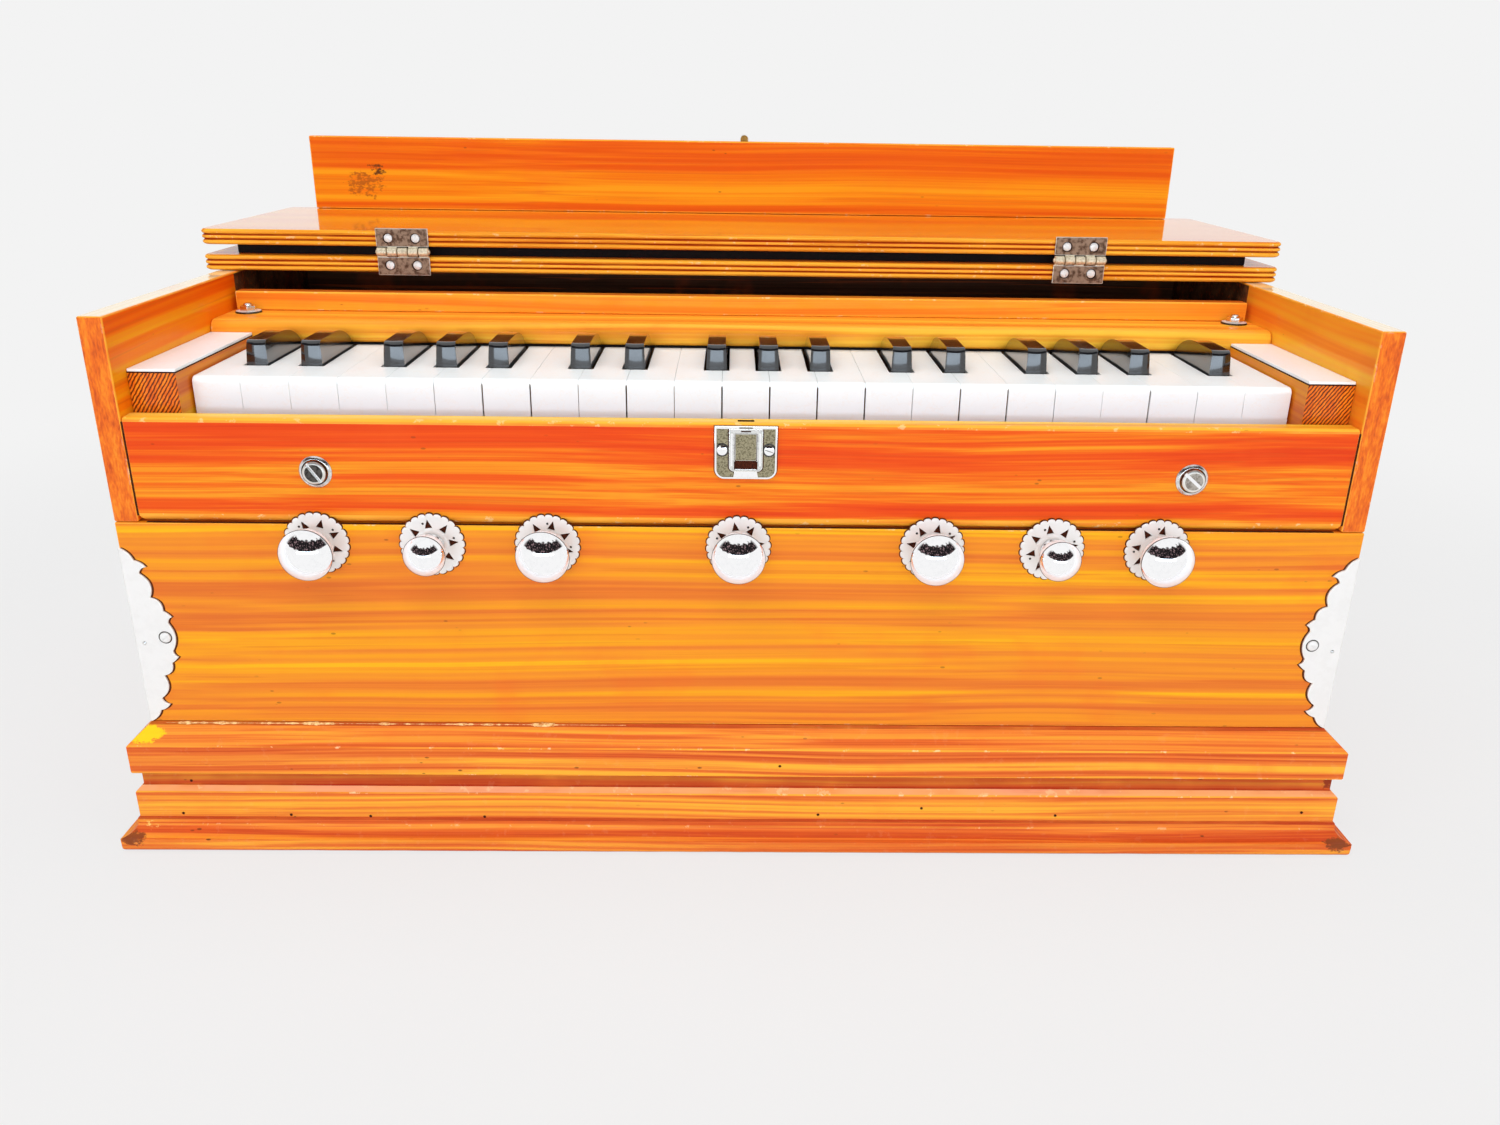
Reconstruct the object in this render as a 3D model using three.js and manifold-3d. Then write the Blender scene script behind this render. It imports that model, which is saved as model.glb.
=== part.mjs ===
// Indian harmonium: a hand-pumped reed organ with 39 keys and 7 stops, shown with its lid folded back.
// Millimetres. X runs to the player's right, Y to the back, Z up. The origin is on the floor, under the
// middle of the whole instrument.
import * as THREE from 'three';
import { mergeVertices } from 'three/addons/utils/BufferGeometryUtils.js';
import Module from 'manifold-3d';

// Clearances
const seam = 0.3;              // between pieces that are glued or screwed together
const cutOverrun = 2;          // how far a cut runs past the face it opens
const embed = 0.4;             // how far metal fittings are let into the wood that carries them

// Keyboard
const whiteKeyCount = 23;
const whiteKeyPitch = 21.74;
const keyGap = 0.7;
const keySideClearance = 0.6;  // between the outer keys and the end blocks
const blackKeySlot = 11.4;
const blackKeyWidth = 10;
const blackKeyTopWidth = 8.8;
const blackKeyHeight = 11.4;   // above the white keys
const blackKeyFrontLean = 1.4;
const blackKeyFrontRound = 2.8;
const blackKeyCornerRadius = 2.4;
const whiteHeadLength = 26;    // from the front of a white key to the front of a black one
const blackFrontClearance = 1.8;
const keyBodyHeight = 15;
const keyFrontRound = 3;
const keyTopDrop = 30.7;       // key tops below the top of the cheeks
const keyTopRise = 12.8;       // and above the top of the key slip
const laminateStep = 2;        // how far the lever drops behind the white covering
const palletHeight = 8;

// Side boards, called cheeks, and the blocks at the ends of the keyboard
const cheekThickness = 10.8;
const cheekHeight = 192.5;
const caseDepth = 262;
const endBlockWidth = 21.1;
const endBlockSetback = 12.5;  // behind the front of the cheeks
const endBlockRise = 6;        // above the white keys
const endBlockRound = 1.5;

// Places behind the front of the cheeks, as shares of the depth of the case
const keyFrontShare = 0.095;
const chestShare = 0.172;
const railShare = 0.3897;
const balanceShare = 0.515;
const topBoardShare = 0.557;
const reedBoardShare = 0.725;
const keyBackShare = 0.9;

// Lengths as shares of the depth of the case
const blackFlatShare = 0.0935;
const blackHumpShare = 0.0943;
const laminateShare = 0.36;
const palletShare = 0.153;
const railDepthShare = 0.1507;

// Front: stop board below, across the whole body, and the key slip above it between the cheeks
const stopBoardThickness = 12;
const slipSetback = 0.5;       // behind the front of the cheeks
const slipHeight = 48;
const slipThickness = 9;
const slipRound = 2;
const slipCornerRadius = 4;

// Stops: two sizes of knob, their places as shares of the body width
const stopPlaceShares = [-0.342, -0.25, -0.158, -0.005, 0.151, 0.248, 0.333];
const stopIsLarge = [true, false, true, true, true, false, true];
const stopDrop = 9;            // stop centres below the top of the stop board
const largeKnobRadius = 12;
const smallKnobRadius = 9.4;
const knobReach = 22;          // from the face of the cheeks to the crown of a knob
const knobRimReach = 16;
const knobNeckRadius = 5.4;
const knobNeckReach = 7;
const stopRodRadius = 3.4;
const stopRodClearance = 0.6;
const stopRodEndGap = 1;

// Rosettes round the stops
const rosetteRadius = 14.7;
const rosetteThickness = 1;
const rosetteLobeDepth = 1.1;
const rosetteLobes = 24;
const rosetteCuts = 8;
const rosetteCutInner = 7.6;
const rosetteCutOuter = 11.6;
const rosetteCutHalfWidth = 1.7;
const rosetteHoleRadius = 4.8;
const rosetteBossRadius = 7;

// Corner plates that wrap the lower front corners
const plateThickness = 0.9;
const plateHeightShare = 0.881;  // of the height of the stop board
const plateWidth = 20.5;
// The edge's corners down the upper half: across and up as shares of the width and half the height, and
// how far the edge bulges on its way to each, as a share of the width
const plateEdgeShares = [
  [0.28, 0.865, 0.05], [0.52, 0.79, 0.03], [0.35, 0.72, -0.04], [0.5, 0.45, 0.13],
  [0.73, 0.3, 0.09], [0.9, 0.23, 0.01], [0.8, 0.16, -0.03]];
const plateMiddleShare = 0.11;   // bulge of the lobe in the middle

// Catch plate on the key slip, and the lid's tongue that drops in behind it
const catchWidth = 27.6;
const catchHeight = 24;
const catchDrop = 0.9;         // below the top of the key slip
const catchThickness = 0.9;
const catchCornerRadius = 4.4;
const catchRaise = 0.7;
const catchBezelWidth = 14.6;
const catchBezelWall = 2.2;
const catchWindowDrop = 3.5;
const catchWindowHeight = 12;
const catchSlotDrop = 17.2;
const catchSlotHeight = 2.7;
const tongueWidth = 6;
const tongueThickness = 1.6;
const tongueLength = 4;
const tongueClearance = 0.7;

// Plinth: a moulded base that stands out all round
const plinthHeight = 62.5;
const capSlopeDrop = 8.5;
const capReach = 9.5;
const capBandHeight = 14.8;
const recessReach = 6.2;
const recessTopDrop = 1.4;
const recessHeight = 6.4;
const lowerStepDrop = 2.4;
const lowerBandReach = 9.3;
const lowerBandHeight = 14.4;
const footReach = 16.8;
const ogeeHeight = 7.4;
const footHeight = 4.6;
const footRound = 2.6;
const plinthRim = 24;          // the wall round the hollow of the plinth, in from the faces of the body
const plinthFloor = 10;

// Rail over the keys: a rounded nose below and a cap strip behind it
const railKeyClearance = 0.6;
const railHeight = 11.5;
const railRound = 5;
const railCapShare = 0.225;    // of the depth of the rail
const railCapHeight = 9.9;
const nutInset = 11.5;         // rail nuts in from the ends of the rail
const nutSetback = 23.8;       // and behind its nose
const nutRadius = 4.2;
const nutHeight = 4;
const washerRadius = 6.4;
const washerThickness = 0.9;

// Wind chest: the air chest with its balance rail, reed board and the back of the case
const chestKeyDrop = 13;       // key undersides above the floor of the key well
const chestWall = 10;
const balanceRailWidth = 14;

// Top board and lid
const boardThickness = 8;
const boardOverhang = 6.7;     // past the outer faces of the cheeks
const topBoardBackOverhang = 6;
const boardCornerRadius = 5;
const reedCount = 3;
const reedDepth = 1.2;
const lidGap = 5.3;            // between the top board and the lid folded back over it
const stripThickness = 8;
const stripEndClearance = 1.3;
const stripSlipClearance = 0.5;
const stripShutSetback = 1.5;  // behind the front of the cheeks when the lid is shut

// Butt hinges between the top board and the lid
const hingePlaceShares = [-0.322, 0.318];
const hingeWidth = 27.7;
const hingeKnuckles = 5;
const knuckleGap = 0.3;
const knuckleRadius = 2.3;
const hingePinRadius = 0.9;
const hingeBoreRadius = 1.3;
const leafThickness = 1.1;
const leafOverhang = 1.5;      // past the far face of its board
const leafClearance = 0.3;     // between the two leaves when the lid is shut

// Pump bellows at the back, hinged along the lower edge
const bellowsInset = 5;        // in from the edges of the bellows board
const foldDepth = 24;
const foldCount = 5;
const foldValley = 4;
const bellowsTopDrop = 7;      // below the top of the cheeks
const bellowsFootGap = 1;
const bellowsBoardThickness = 12;
const bellowsBoardRound = 2;
const inletHoleRadius = 5;
const inletHoleCount = 5;
const inletHoleSpacing = 26;

// Derived sizes
const keyboardWidth = whiteKeyCount * whiteKeyPitch;
const innerWidth = keyboardWidth + 2 * (keySideClearance + endBlockWidth + seam);
const bodyWidth = innerWidth + 2 * cheekThickness;
const halfInner = innerWidth / 2;
const halfBody = bodyWidth / 2;
const bellowsBoardDepth = foldDepth + bellowsBoardThickness + 2 * seam;
const plinthDepth = caseDepth + bellowsBoardDepth;
const overallDepth = knobReach + plinthDepth + footReach;
const front = knobReach - overallDepth / 2;
const cheekBottom = plinthHeight + seam;
const cheekTop = plinthHeight + cheekHeight;
const keyTop = cheekTop - keyTopDrop;
const keyBottom = keyTop - keyBodyHeight;
const slipTop = keyTop - keyTopRise;
const slipBottom = slipTop - slipHeight;
const stopBoardTop = slipBottom - seam;
const stopBoardBack = front + stopBoardThickness;
const slipFace = front + slipSetback;
const slipBack = slipFace + slipThickness;
const keyFront = front + keyFrontShare * caseDepth;
const blackFront = keyFront + whiteHeadLength;
const balance = front + balanceShare * caseDepth;
const keyBack = front + keyBackShare * caseDepth;
const palletFront = keyBack - palletShare * caseDepth;
const stopHeight = stopBoardTop - stopDrop;
const plateHeight = plateHeightShare * (stopBoardTop - cheekBottom);
const railFront = front + railShare * caseDepth;
const railDepth = railDepthShare * caseDepth;
const railBottom = keyTop + railKeyClearance;
const railTop = railBottom + railHeight;
const chestFront = front + chestShare * caseDepth;
const chestTop = keyBottom - chestKeyDrop;
const reedBoardTop = keyBottom - palletHeight - seam;
const caseBack = front + caseDepth;
const boardFront = front + topBoardShare * caseDepth;
const topBoardBottom = cheekTop + seam;
const topBoardTop = topBoardBottom + boardThickness;
const lidBottom = topBoardTop + lidGap;
const lidTop = lidBottom + boardThickness;
const hingeAxisHeight = topBoardTop + lidGap / 2;
const hingeAxisY = boardFront - leafThickness - leafClearance / 2;
const lidBack = 2 * hingeAxisY - front - stripShutSetback;
const halfBoard = halfBody + boardOverhang;
const foldFront = caseBack + seam;
const bellowsBoardFront = foldFront + foldDepth + seam;
const bellowsBottom = plinthHeight + bellowsFootGap;
const bellowsTop = cheekTop - bellowsTopDrop;

const wasm = await Module();
wasm.setup();

// Solid geometry

function toSolid(geometry) {
  const bare = geometry.clone();
  bare.deleteAttribute('normal');
  bare.deleteAttribute('uv');
  const merged = mergeVertices(bare);
  const vertProperties = new Float32Array(merged.attributes.position.array);
  const triVerts = new Uint32Array(merged.index.array);
  return new wasm.Manifold(new wasm.Mesh({ numProp: 3, vertProperties, triVerts }));
}

function toGeometry(solid) {
  const mesh = solid.getMesh();
  const geometry = new THREE.BufferGeometry();
  geometry.setAttribute('position', new THREE.BufferAttribute(new Float32Array(mesh.vertProperties), 3));
  geometry.setIndex(new THREE.BufferAttribute(new Uint32Array(mesh.triVerts), 1));
  return geometry;
}

function join(geometries) {
  return toGeometry(geometries.map(toSolid).reduce((whole, piece) => whole.add(piece)));
}

function cut(geometry, tools) {
  return toGeometry(tools.map(toSolid).reduce((whole, tool) => whole.subtract(tool), toSolid(geometry)));
}

function common(first, second) {
  return toGeometry(toSolid(first).intersect(toSolid(second)));
}

function box(low, high) {
  const size = high.map((value, axis) => value - low[axis]);
  const geometry = new THREE.BoxGeometry(...size);
  return geometry.translate(...size.map((value, axis) => low[axis] + value / 2));
}

// Extrusions. The shape is drawn in the plane named first and pushed along the axis named last.
const yzAlongX = new THREE.Matrix4().makeBasis(
  new THREE.Vector3(0, 1, 0), new THREE.Vector3(0, 0, 1), new THREE.Vector3(1, 0, 0));
const xzAlongFront = new THREE.Matrix4().makeBasis(
  new THREE.Vector3(1, 0, 0), new THREE.Vector3(0, 0, 1), new THREE.Vector3(0, -1, 0));

function extrude(shape, depth, curveSegments = 4) {
  return new THREE.ExtrudeGeometry(shape, { depth, curveSegments, bevelEnabled: false });
}

function extrudeAlongX(shape, low, high, curveSegments) {
  return extrude(shape, high - low, curveSegments).applyMatrix4(yzAlongX).translate(low, 0, 0);
}

function inOrder(first, second) {
  return [Math.min(first, second), Math.max(first, second)];
}

// The same between two places given in either order
function extrudeBetween(shape, first, second, curveSegments) {
  return extrudeAlongX(shape, ...inOrder(first, second), curveSegments);
}

// From the plane y = back towards the player, by depth
function extrudeToFront(shape, back, depth, curveSegments) {
  return extrude(shape, depth, curveSegments).applyMatrix4(xzAlongFront).translate(0, back, 0);
}

function extrudeUp(shape, low, high, curveSegments) {
  return extrude(shape, high - low, curveSegments).translate(0, 0, low);
}

function polygon(points) {
  return new THREE.Shape(points.map(([x, y]) => new THREE.Vector2(x, y)));
}

function circle(x, y, radius) {
  const shape = new THREE.Shape();
  shape.absarc(x, y, radius, 0, 2 * Math.PI, false);
  return shape;
}

function cylinderAlongX(low, high, y, z, radius, sides) {
  const geometry = new THREE.CylinderGeometry(radius, radius, high - low, sides);
  return geometry.rotateZ(Math.PI / 2).translate((low + high) / 2, y, z);
}

// Arc of points about a centre, angles in degrees, both ends included
function arc(centreX, centreY, radius, from, to, steps) {
  return Array.from({ length: steps + 1 }, (unused, step) => {
    const angle = THREE.MathUtils.degToRad(from + (to - from) * step / steps);
    return [centreX + radius * Math.cos(angle), centreY + radius * Math.sin(angle)];
  });
}

// Closed stack of rings that all have the same number of points
function stack(rings) {
  const count = rings[0].length;
  const positions = rings.flat(2);
  const triangles = [];
  for (let level = 0; level < rings.length - 1; level += 1) {
    for (let corner = 0; corner < count; corner += 1) {
      const next = (corner + 1) % count;
      const a = level * count + corner;
      const b = level * count + next;
      triangles.push(a, b, b + count, a, b + count, a + count);
    }
  }
  const top = (rings.length - 1) * count;
  for (let corner = 1; corner < count - 1; corner += 1) {
    triangles.push(0, corner + 1, corner, top, top + corner, top + corner + 1);
  }
  const geometry = new THREE.BufferGeometry();
  geometry.setAttribute('position', new THREE.Float32BufferAttribute(positions, 3));
  geometry.setIndex(triangles);
  return geometry;
}

// Materials
function finish(color, roughness, metalness) {
  return new THREE.MeshStandardMaterial({ color, roughness, metalness });
}

const varnishedPine = finish(0xf08a2c, 0.25, 0);
const plinthPine = finish(0xd97a45, 0.35, 0);
const bareWood = finish(0xb9855a, 0.7, 0);
const chrome = finish(0xd8dadd, 0.12, 1);
const nickel = finish(0xb4ac98, 0.4, 1);
const ivory = finish(0xf4f3ef, 0.3, 0);
const ebony = finish(0x202226, 0.2, 0);
const leather = finish(0x6d3b22, 0.8, 0);

const harmonium = new THREE.Group();

function addPiece(name, geometry, material, parent = harmonium) {
  const piece = new THREE.Mesh(geometry, material);
  piece.name = name;
  parent.add(piece);
  return piece;
}

// Plinth: the moulding's profile as reach past the body and height, mitred round the footprint, with the
// hollow under the wind chest let in from above
function plinthGeometry() {
  const capBottom = plinthHeight - capSlopeDrop - capBandHeight;
  const recessTop = capBottom - recessTopDrop;
  const recessBottom = recessTop - recessHeight;
  const lowerBandTop = recessBottom - lowerStepDrop;
  const lowerBandBottom = lowerBandTop - lowerBandHeight;
  const ogeeReach = footReach - lowerBandReach;
  const ogee = arc(0, 0, 1, 180, 270, 4).map(([across, down]) => [
    lowerBandReach + ogeeReach * (1 + across), lowerBandBottom + ogeeHeight * down]);
  const footEdge = arc(footReach - footRound, footRound, footRound, 0, -90, 3);
  const profile = [
    [0, plinthHeight],
    [capReach, plinthHeight - capSlopeDrop],
    [capReach, capBottom],
    [recessReach, recessTop],
    [recessReach, recessBottom],
    [lowerBandReach, lowerBandTop],
    ...ogee,
    [footReach, footHeight],
    ...footEdge,
  ];
  const backEdge = front + plinthDepth;
  const rings = profile.reverse().map(([reach, height]) => [
    [-halfBody - reach, front - reach, height],
    [halfBody + reach, front - reach, height],
    [halfBody + reach, backEdge + reach, height],
    [-halfBody - reach, backEdge + reach, height],
  ]);
  const hollow = box([-halfBody + plinthRim, front + plinthRim, plinthFloor],
    [halfBody - plinthRim, caseBack - plinthRim, plinthHeight + cutOverrun]);
  return cut(stack(rings), [hollow]);
}

// Outline of a corner plate, with lobes and points that swell to its middle, from the corner it wraps.
// place turns a distance from the corner and a height into the plane of the face.
function cornerPlateShape(place) {
  const half = plateHeight / 2;
  const upper = [[0, 1, 0], ...plateEdgeShares];
  const bulges = [...upper.slice(1).map(([across, up, bulge]) => bulge), plateMiddleShare];
  const lower = upper.map(([across, up], index) => [across, -up, bulges[index]]).reverse();
  const corners = [...upper, ...lower].map(([across, up, bulge]) => [
    across * plateWidth, up * half, bulge * plateWidth]);
  const shape = new THREE.Shape();
  shape.moveTo(...place(-plateThickness, half));
  shape.lineTo(...place(0, half));
  for (let index = 1; index < corners.length; index += 1) {
    const [fromAcross, fromUp] = corners[index - 1];
    const [toAcross, toUp, bulge] = corners[index];
    const chord = Math.hypot(toAcross - fromAcross, toUp - fromUp);
    const control = place(
      (fromAcross + toAcross) / 2 + 2 * bulge * (fromUp - toUp) / chord,
      (fromUp + toUp) / 2 + 2 * bulge * (toAcross - fromAcross) / chord);
    shape.quadraticCurveTo(...control, ...place(toAcross, toUp));
  }
  shape.lineTo(...place(-plateThickness, -half));
  return shape;
}

// Corner plate let into the stop board's face and end, and standing clear of the cheek behind it.
// side is -1 left, 1 right.
function cornerPlateGeometry(side) {
  const middle = cheekBottom + plateHeight / 2;
  const faceShape = cornerPlateShape((reach, up) => [side * (halfBody - reach), middle + up]);
  const face = extrudeToFront(faceShape, front + embed, plateThickness + embed, 3);
  const flankShape = cornerPlateShape((reach, up) => [front + reach, middle + up]);
  const flankOuter = side * (halfBody + plateThickness);
  const flank = extrudeBetween(flankShape, side * (halfBody - embed), flankOuter, 3);
  const [low, high] = inOrder(side * (halfBody - cutOverrun), side * (halfBody + seam));
  const cheekClearance = box([low, stopBoardBack, cheekBottom - cutOverrun],
    [high, stopBoardBack + plateWidth, slipBottom]);
  return join([face, cut(flank, [cheekClearance])]);
}

// Cheek: it stands behind the end of the stop board and reaches to the front above it
function cheekGeometry(side) {
  const profile = polygon([
    [caseBack, cheekBottom],
    [caseBack, cheekTop],
    [front, cheekTop],
    [front, slipBottom],
    [stopBoardBack + seam, slipBottom],
    [stopBoardBack + seam, cheekBottom],
  ]);
  return extrudeBetween(profile, side * halfInner, side * halfBody);
}

// End block: closes the side of the keyboard and stands a little above the keys
function endBlockGeometry(side) {
  const blockFront = front + endBlockSetback;
  const blockBack = railFront - seam;
  const top = keyTop + endBlockRise;
  const round = arc(blockFront + endBlockRound, top - endBlockRound, endBlockRound, 180, 90, 3);
  const profile = polygon([
    [blockBack, chestTop + seam], [blockFront, chestTop + seam], ...round, [blockBack, top]]);
  const outer = halfInner - seam;
  return extrudeBetween(profile, side * outer, side * (outer - endBlockWidth));
}

// Rosette: a scalloped disc with a ring of wedge-shaped cuts, drawn about its own centre
function rosetteShape() {
  const outline = Array.from({ length: 2 * rosetteLobes }, (unused, index) => {
    const angle = Math.PI * index / rosetteLobes;
    const radius = rosetteRadius - (index % 2 ? rosetteLobeDepth : 0);
    return [radius * Math.cos(angle), radius * Math.sin(angle)];
  });
  const shape = polygon(outline);
  shape.holes.push(circle(0, 0, rosetteHoleRadius));
  for (let index = 0; index < rosetteCuts; index += 1) {
    const angle = 2 * Math.PI * index / rosetteCuts;
    const turned = (out, aside) => [
      out * Math.cos(angle) - aside * Math.sin(angle), out * Math.sin(angle) + aside * Math.cos(angle)];
    shape.holes.push(polygon([
      turned(rosetteCutInner, -rosetteCutHalfWidth),
      turned(rosetteCutOuter, 0),
      turned(rosetteCutInner, rosetteCutHalfWidth)]));
  }
  return shape;
}

function rosetteGeometry(x) {
  const disc = extrudeToFront(rosetteShape(), front - seam, rosetteThickness, 3);
  const bossShape = circle(0, 0, rosetteBossRadius);
  bossShape.holes.push(circle(0, 0, rosetteHoleRadius));
  const boss = extrudeToFront(bossShape, front + embed, embed + seam + rosetteThickness / 2, 3);
  return join([disc, boss]).translate(x, 0, stopHeight);
}

const stopPlaces = stopPlaceShares.map((share) => share * bodyWidth);

// Stop board, with a rosette round each hole and the two corner plates
function stopBoardGeometry() {
  const board = box([-halfBody, front, cheekBottom], [halfBody, stopBoardBack, stopBoardTop]);
  const fittings = [...stopPlaces.map(rosetteGeometry), cornerPlateGeometry(-1), cornerPlateGeometry(1)];
  const holes = stopPlaces.map((x) => extrudeToFront(
    circle(x, stopHeight, stopRodRadius + stopRodClearance),
    stopBoardBack + cutOverrun, stopBoardThickness + 2 * cutOverrun, 4));
  return cut(join([board, ...fittings]), holes);
}

// Stop: a mushroom knob turned in one with its rod
function stopGeometry(radius) {
  const rodEnd = chestFront - front - stopRodEndGap;
  const neckBack = rosetteThickness + 2 * seam;
  const flare = arc(0, 0, 1, -90, 0, 3).map(([out, along]) => [
    knobNeckRadius + (radius - knobNeckRadius) * out,
    knobRimReach + (knobRimReach - knobNeckReach) * along]);
  const dome = arc(0, 0, 1, 0, 90, 6).map(([out, along]) => [
    radius * out, knobRimReach + (knobReach - knobRimReach) * along]);
  const profile = [
    [0, -rodEnd],
    [stopRodRadius, -rodEnd],
    [stopRodRadius, neckBack],
    [knobNeckRadius, neckBack],
    ...flare,
    ...dome.slice(1, -1),
    [0, knobReach],
  ];
  const points = profile.map(([out, along]) => new THREE.Vector2(out, along));
  return new THREE.LatheGeometry(points, 20).rotateX(Math.PI);
}

// Lid tongue: its place when the lid is open, and where it comes down when the lid is shut
const tongueY = lidBack - stripThickness / 2;
const tongueShutY = 2 * hingeAxisY - tongueY;
const lidHeight = 2 * hingeAxisHeight - slipTop - stripSlipClearance;

// Key slip, rounded along its top and at its lower corners, with the mortise for the lid's tongue
function keySlipGeometry() {
  const half = halfInner - seam;
  const corner = slipCornerRadius;
  const round = arc(slipFace + slipRound, slipTop - slipRound, slipRound, 180, 90, 3);
  const profile = polygon([[slipBack, slipBottom], [slipFace, slipBottom], ...round, [slipBack, slipTop]]);
  const outline = polygon([
    [half, slipTop + cutOverrun],
    [-half, slipTop + cutOverrun],
    ...arc(-half + corner, slipBottom + corner, corner, 180, 270, 4),
    ...arc(half - corner, slipBottom + corner, corner, 270, 360, 4),
  ]);
  const slip = common(extrudeAlongX(profile, -half, half),
    extrudeToFront(outline, slipBack + cutOverrun, slipThickness + 2 * cutOverrun));
  const mortise = box(
    [-tongueWidth / 2 - tongueClearance, tongueShutY - tongueThickness / 2 - tongueClearance,
      slipTop - tongueLength - tongueClearance],
    [tongueWidth / 2 + tongueClearance, tongueShutY + tongueThickness / 2 + tongueClearance,
      slipTop + cutOverrun]);
  return cut(slip, [mortise]);
}

// Catch plate: a plate with a raised bezel round its window and a slot below
function catchPlateGeometry() {
  const top = slipTop - catchDrop;
  const bottom = top - catchHeight;
  const half = catchWidth / 2;
  const corner = catchCornerRadius;
  const back = slipFace - seam;
  const plate = extrudeToFront(polygon([
    [half, top],
    [-half, top],
    ...arc(-half + corner, bottom + corner, corner, 180, 270, 4),
    ...arc(half - corner, bottom + corner, corner, 270, 360, 4),
  ]), back, catchThickness);
  const bezelHalf = catchBezelWidth / 2;
  const windowHalf = bezelHalf - catchBezelWall;
  const windowTop = top - catchWindowDrop;
  const windowBottom = windowTop - catchWindowHeight;
  const bezelShape = polygon([
    [bezelHalf, top],
    [-bezelHalf, top],
    ...arc(-windowHalf, windowBottom, catchBezelWall, 180, 270, 3),
    ...arc(windowHalf, windowBottom, catchBezelWall, 270, 360, 3),
  ]);
  const bezelBack = back - catchThickness / 2;
  const bezelFront = back - catchThickness - catchRaise;
  const window = box([-windowHalf, bezelFront - cutOverrun, windowBottom],
    [windowHalf, bezelBack + cutOverrun, windowTop]);
  const bezel = cut(extrudeToFront(bezelShape, bezelBack, bezelBack - bezelFront), [window]);
  const slot = box(
    [-windowHalf, bezelFront - cutOverrun, top - catchSlotDrop - catchSlotHeight],
    [windowHalf, back + cutOverrun, top - catchSlotDrop]);
  return cut(join([plate, bezel]), [slot]);
}

// Key layout: the tails share what the slots for the black keys leave of each group of three or four
function keyLayout() {
  const whites = [];
  const blacks = [];
  let index = 0;
  for (let group = 0; index < whiteKeyCount; group += 1) {
    const size = group % 2 ? 4 : 3;
    const tail = whiteKeyPitch - blackKeySlot * (size - 1) / size;
    const start = index * whiteKeyPitch - keyboardWidth / 2;
    for (let place = 0; place < size && index < whiteKeyCount; place += 1) {
      const head = start + place * whiteKeyPitch;
      const left = start + place * (tail + blackKeySlot);
      const last = index === whiteKeyCount - 1;
      whites.push({
        headLeft: head,
        headRight: head + whiteKeyPitch,
        tailLeft: left,
        tailRight: last ? head + whiteKeyPitch : left + tail,
        notchLeft: place > 0,
        notchRight: place < size - 1 && !last,
      });
      if (place < size - 1 && !last) {
        blacks.push(left + tail + blackKeySlot / 2);
      }
      index += 1;
    }
  }
  return { whites, blacks };
}

// Side view of a key's lever behind its visible part, with the pallet under its back end
function leverProfile(visible) {
  const leverTop = keyTop - laminateStep;
  const palletBottom = keyBottom - palletHeight;
  return polygon([
    ...visible,
    [keyBack, leverTop],
    [keyBack, palletBottom],
    [palletFront, palletBottom],
    [palletFront, keyBottom],
  ]);
}

function whiteKeyGeometry(key) {
  const laminateBack = keyFront + laminateShare * caseDepth;
  const profile = leverProfile([
    [keyFront, keyBottom],
    ...arc(keyFront + keyFrontRound, keyTop - keyFrontRound, keyFrontRound, 180, 90, 3),
    [laminateBack, keyTop],
    [laminateBack, keyTop - laminateStep],
  ]);
  const headLeft = key.headLeft + keyGap / 2;
  const headRight = key.headRight - keyGap / 2;
  const tailLeft = key.tailLeft + keyGap / 2;
  const tailRight = key.tailRight - keyGap / 2;
  const notch = blackFront - blackFrontClearance;
  const ahead = keyFront - cutOverrun;
  const behind = keyBack + cutOverrun;
  const plan = [[headLeft, ahead], [headRight, ahead]];
  if (key.notchRight) {
    plan.push([headRight, notch], [tailRight, notch], [tailRight, behind]);
  } else {
    plan.push([headRight, behind]);
  }
  if (key.notchLeft) {
    plan.push([tailLeft, behind], [tailLeft, notch], [headLeft, notch]);
  } else {
    plan.push([headLeft, behind]);
  }
  const low = keyBottom - palletHeight - cutOverrun;
  return common(
    extrudeAlongX(profile, headLeft, headRight),
    extrudeUp(polygon(plan), low, keyTop + cutOverrun));
}

function blackKeyGeometry(x) {
  const top = keyTop + blackKeyHeight;
  const leverTop = keyTop - laminateStep;
  const crownFront = blackFront + blackKeyFrontLean;
  const humpStart = crownFront + blackFlatShare * caseDepth;
  const hump = arc(0, 0, 1, 90, 0, 6).map(([back, up]) => [
    humpStart + blackHumpShare * caseDepth * back, leverTop + (top - leverTop) * up]);
  const profile = leverProfile([
    [blackFront, keyBottom],
    [blackFront, keyTop],
    ...arc(crownFront + blackKeyFrontRound, top - blackKeyFrontRound, blackKeyFrontRound, 180, 90, 3),
    ...hump,
  ]);
  const half = blackKeyWidth / 2;
  const topHalf = blackKeyTopWidth / 2;
  const low = keyBottom - palletHeight - cutOverrun;
  const section = polygon([
    [half, low],
    [half, keyTop],
    [topHalf, top],
    [-topHalf, top],
    [-half, keyTop],
    [-half, low],
  ]);
  const tapered = extrudeToFront(section, keyBack + cutOverrun, keyBack - blackFront + 2 * cutOverrun);
  const cornerY = blackFront + blackKeyCornerRadius;
  const cornerX = half - blackKeyCornerRadius;
  const rounded = polygon([
    [-half, keyBack + cutOverrun],
    ...arc(-cornerX, cornerY, blackKeyCornerRadius, 180, 270, 3),
    ...arc(cornerX, cornerY, blackKeyCornerRadius, 270, 360, 3),
    [half, keyBack + cutOverrun],
  ]);
  const outline = extrudeUp(rounded, low, top + cutOverrun);
  return common(common(extrudeAlongX(profile, -half, half), tapered), outline).translate(x, 0, 0);
}

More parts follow.
